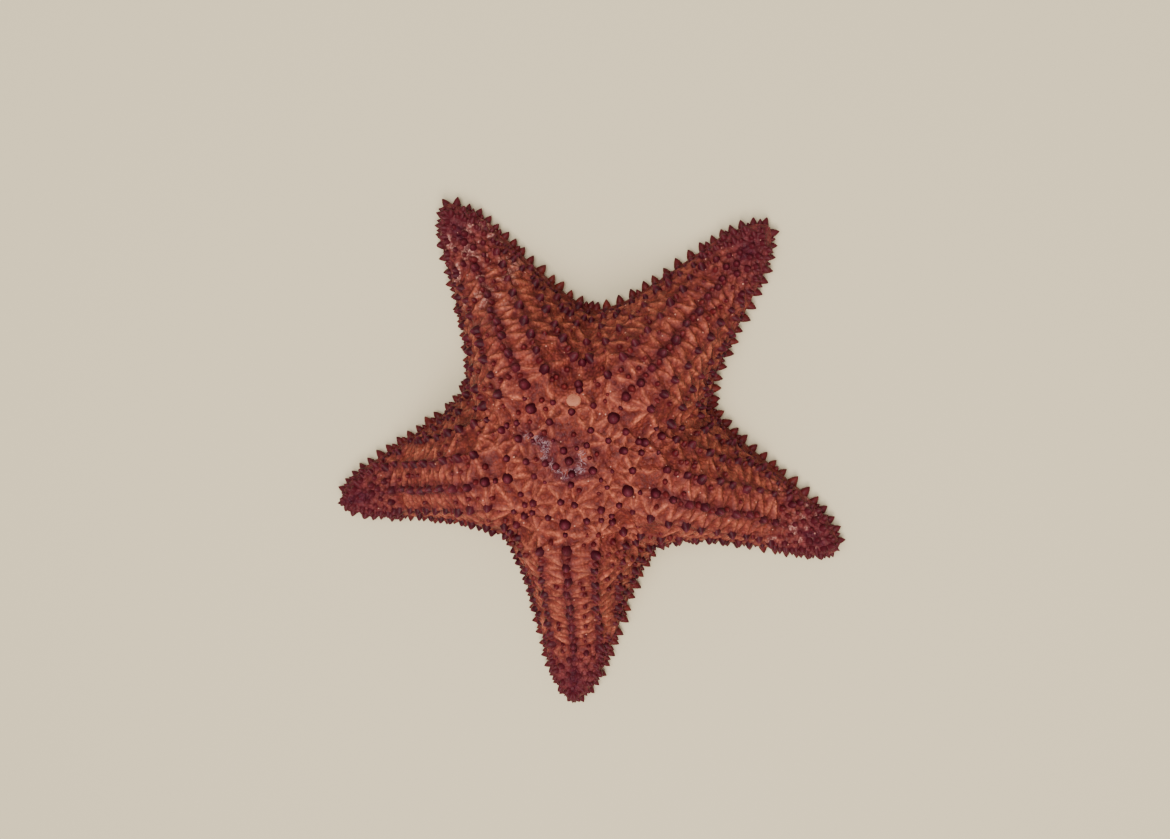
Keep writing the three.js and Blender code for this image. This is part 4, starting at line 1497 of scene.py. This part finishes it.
BLUNT = MAIN[:, ALONG] < 32   # the tubercles of the disc are domes, and those of the arms are cones
for name, rows, outline, finish in (
    ("disc_tubercles", MAIN[BLUNT], DOME, TUBERCLE_FINISH),
    ("arm_tubercles", MAIN[~BLUNT], CONE, TUBERCLE_FINISH),
    ("small_tubercles", SMALL, CONE, SMALL_FINISH),
    ("margin_spines", LOW_SPINES, THORN, MARGIN_FINISH),
    ("shoulder_tubercles", HIGH_SPINES, CONE, TUBERCLE_FINISH),
):
    plant(name, rows, turned(outline, 14), finish)

build_sieve(SIEVE_FINISH)
build_mouth(MOUTH_FINISH)
for name, rows, template, finish in (
    ("jaw_spines", JAWS, turned(CONE, 10), MOUTH_FINISH),
    ("tube_feet", FEET, turned(FOOT_OUTLINE, 8, 0.96, FOOT_SHARES), FOOT_FINISH),
    ("groove_spines", FENCE, turned(DOME, 6), MOUTH_FINISH),
):
    plant(name, rows, template, finish, on_sole=True)

# ---- Floor, light and camera ----

FLOOR_HALF = 3.0


def build_floor():
    mesh = bpy.data.meshes.new("floor")
    corners = [(FLOOR_HALF * x, FLOOR_HALF * y, 0) for x, y in ((-1, -1), (1, -1), (1, 1), (-1, 1))]
    mesh.from_pydata(corners, [], [(0, 1, 2, 3)])
    floor = bpy.data.objects.new("floor", mesh)
    bpy.context.collection.objects.link(floor)
    material, _, shader = new_material("floor_pale", 0.9, 0.2)
    shader.inputs["Base Color"].default_value = srgb(222, 206, 171)
    mesh.materials.append(material)


def area_light(name, place, size, power, colour):
    light = bpy.data.lights.new(name, "AREA")
    light.size = size
    light.energy = power
    light.color = colour
    lamp = bpy.data.objects.new(name, light)
    lamp.location = place
    lamp.rotation_euler = (-Vector(place)).to_track_quat("-Z", "Y").to_euler()
    bpy.context.collection.objects.link(lamp)


def build_lights():
    world = bpy.data.worlds.new("studio")
    world.use_nodes = True
    background = world.node_tree.nodes["Background"]
    background.inputs["Color"].default_value = (0.92, 0.96, 1.0, 1)
    background.inputs["Strength"].default_value = 0.50
    bpy.context.scene.world = world
    area_light("key", (0.20, -0.58, 1.2), 0.6, 12.5, (1.0, 0.95, 0.87))
    area_light("overhead", (-0.12, 0.22, 1.35), 0.9, 18.0, (1.0, 0.98, 0.95))


# The camera stands over the animal, leaning towards arm_2.
FOCAL_PIXELS = 1500.0    # on an image 1170 wide
IMAGE_SIZE = (1170.0, 839.0)
SENSOR_WIDTH = 36.0
LEAN_X = math.radians(8.3)
LEAN_Y = math.radians(13.0)
DISTANCE = 0.685
CENTRE_PIXEL = (586.3, 435.5)   # where the disc's centre falls, at floor level


def build_camera():
    camera = bpy.data.cameras.new("camera")
    camera.sensor_width = SENSOR_WIDTH
    camera.lens = SENSOR_WIDTH * FOCAL_PIXELS / IMAGE_SIZE[0]
    camera.clip_start = 0.01
    holder = bpy.data.objects.new("camera", camera)
    turn = Matrix.Rotation(math.hypot(LEAN_X, LEAN_Y), 3, Vector((-LEAN_Y, LEAN_X, 0)))
    aside, below = ((c - s / 2) / FOCAL_PIXELS * DISTANCE for c, s in zip(CENTRE_PIXEL, IMAGE_SIZE))
    centre = Vector((*(DISC_CENTRE * MM), 0))
    place = centre - turn @ Vector((aside, -below, -DISTANCE))
    holder.matrix_world = Matrix.Translation(place) @ turn.to_4x4()
    bpy.context.collection.objects.link(holder)
    bpy.context.scene.camera = holder


build_floor()
build_lights()
build_camera()
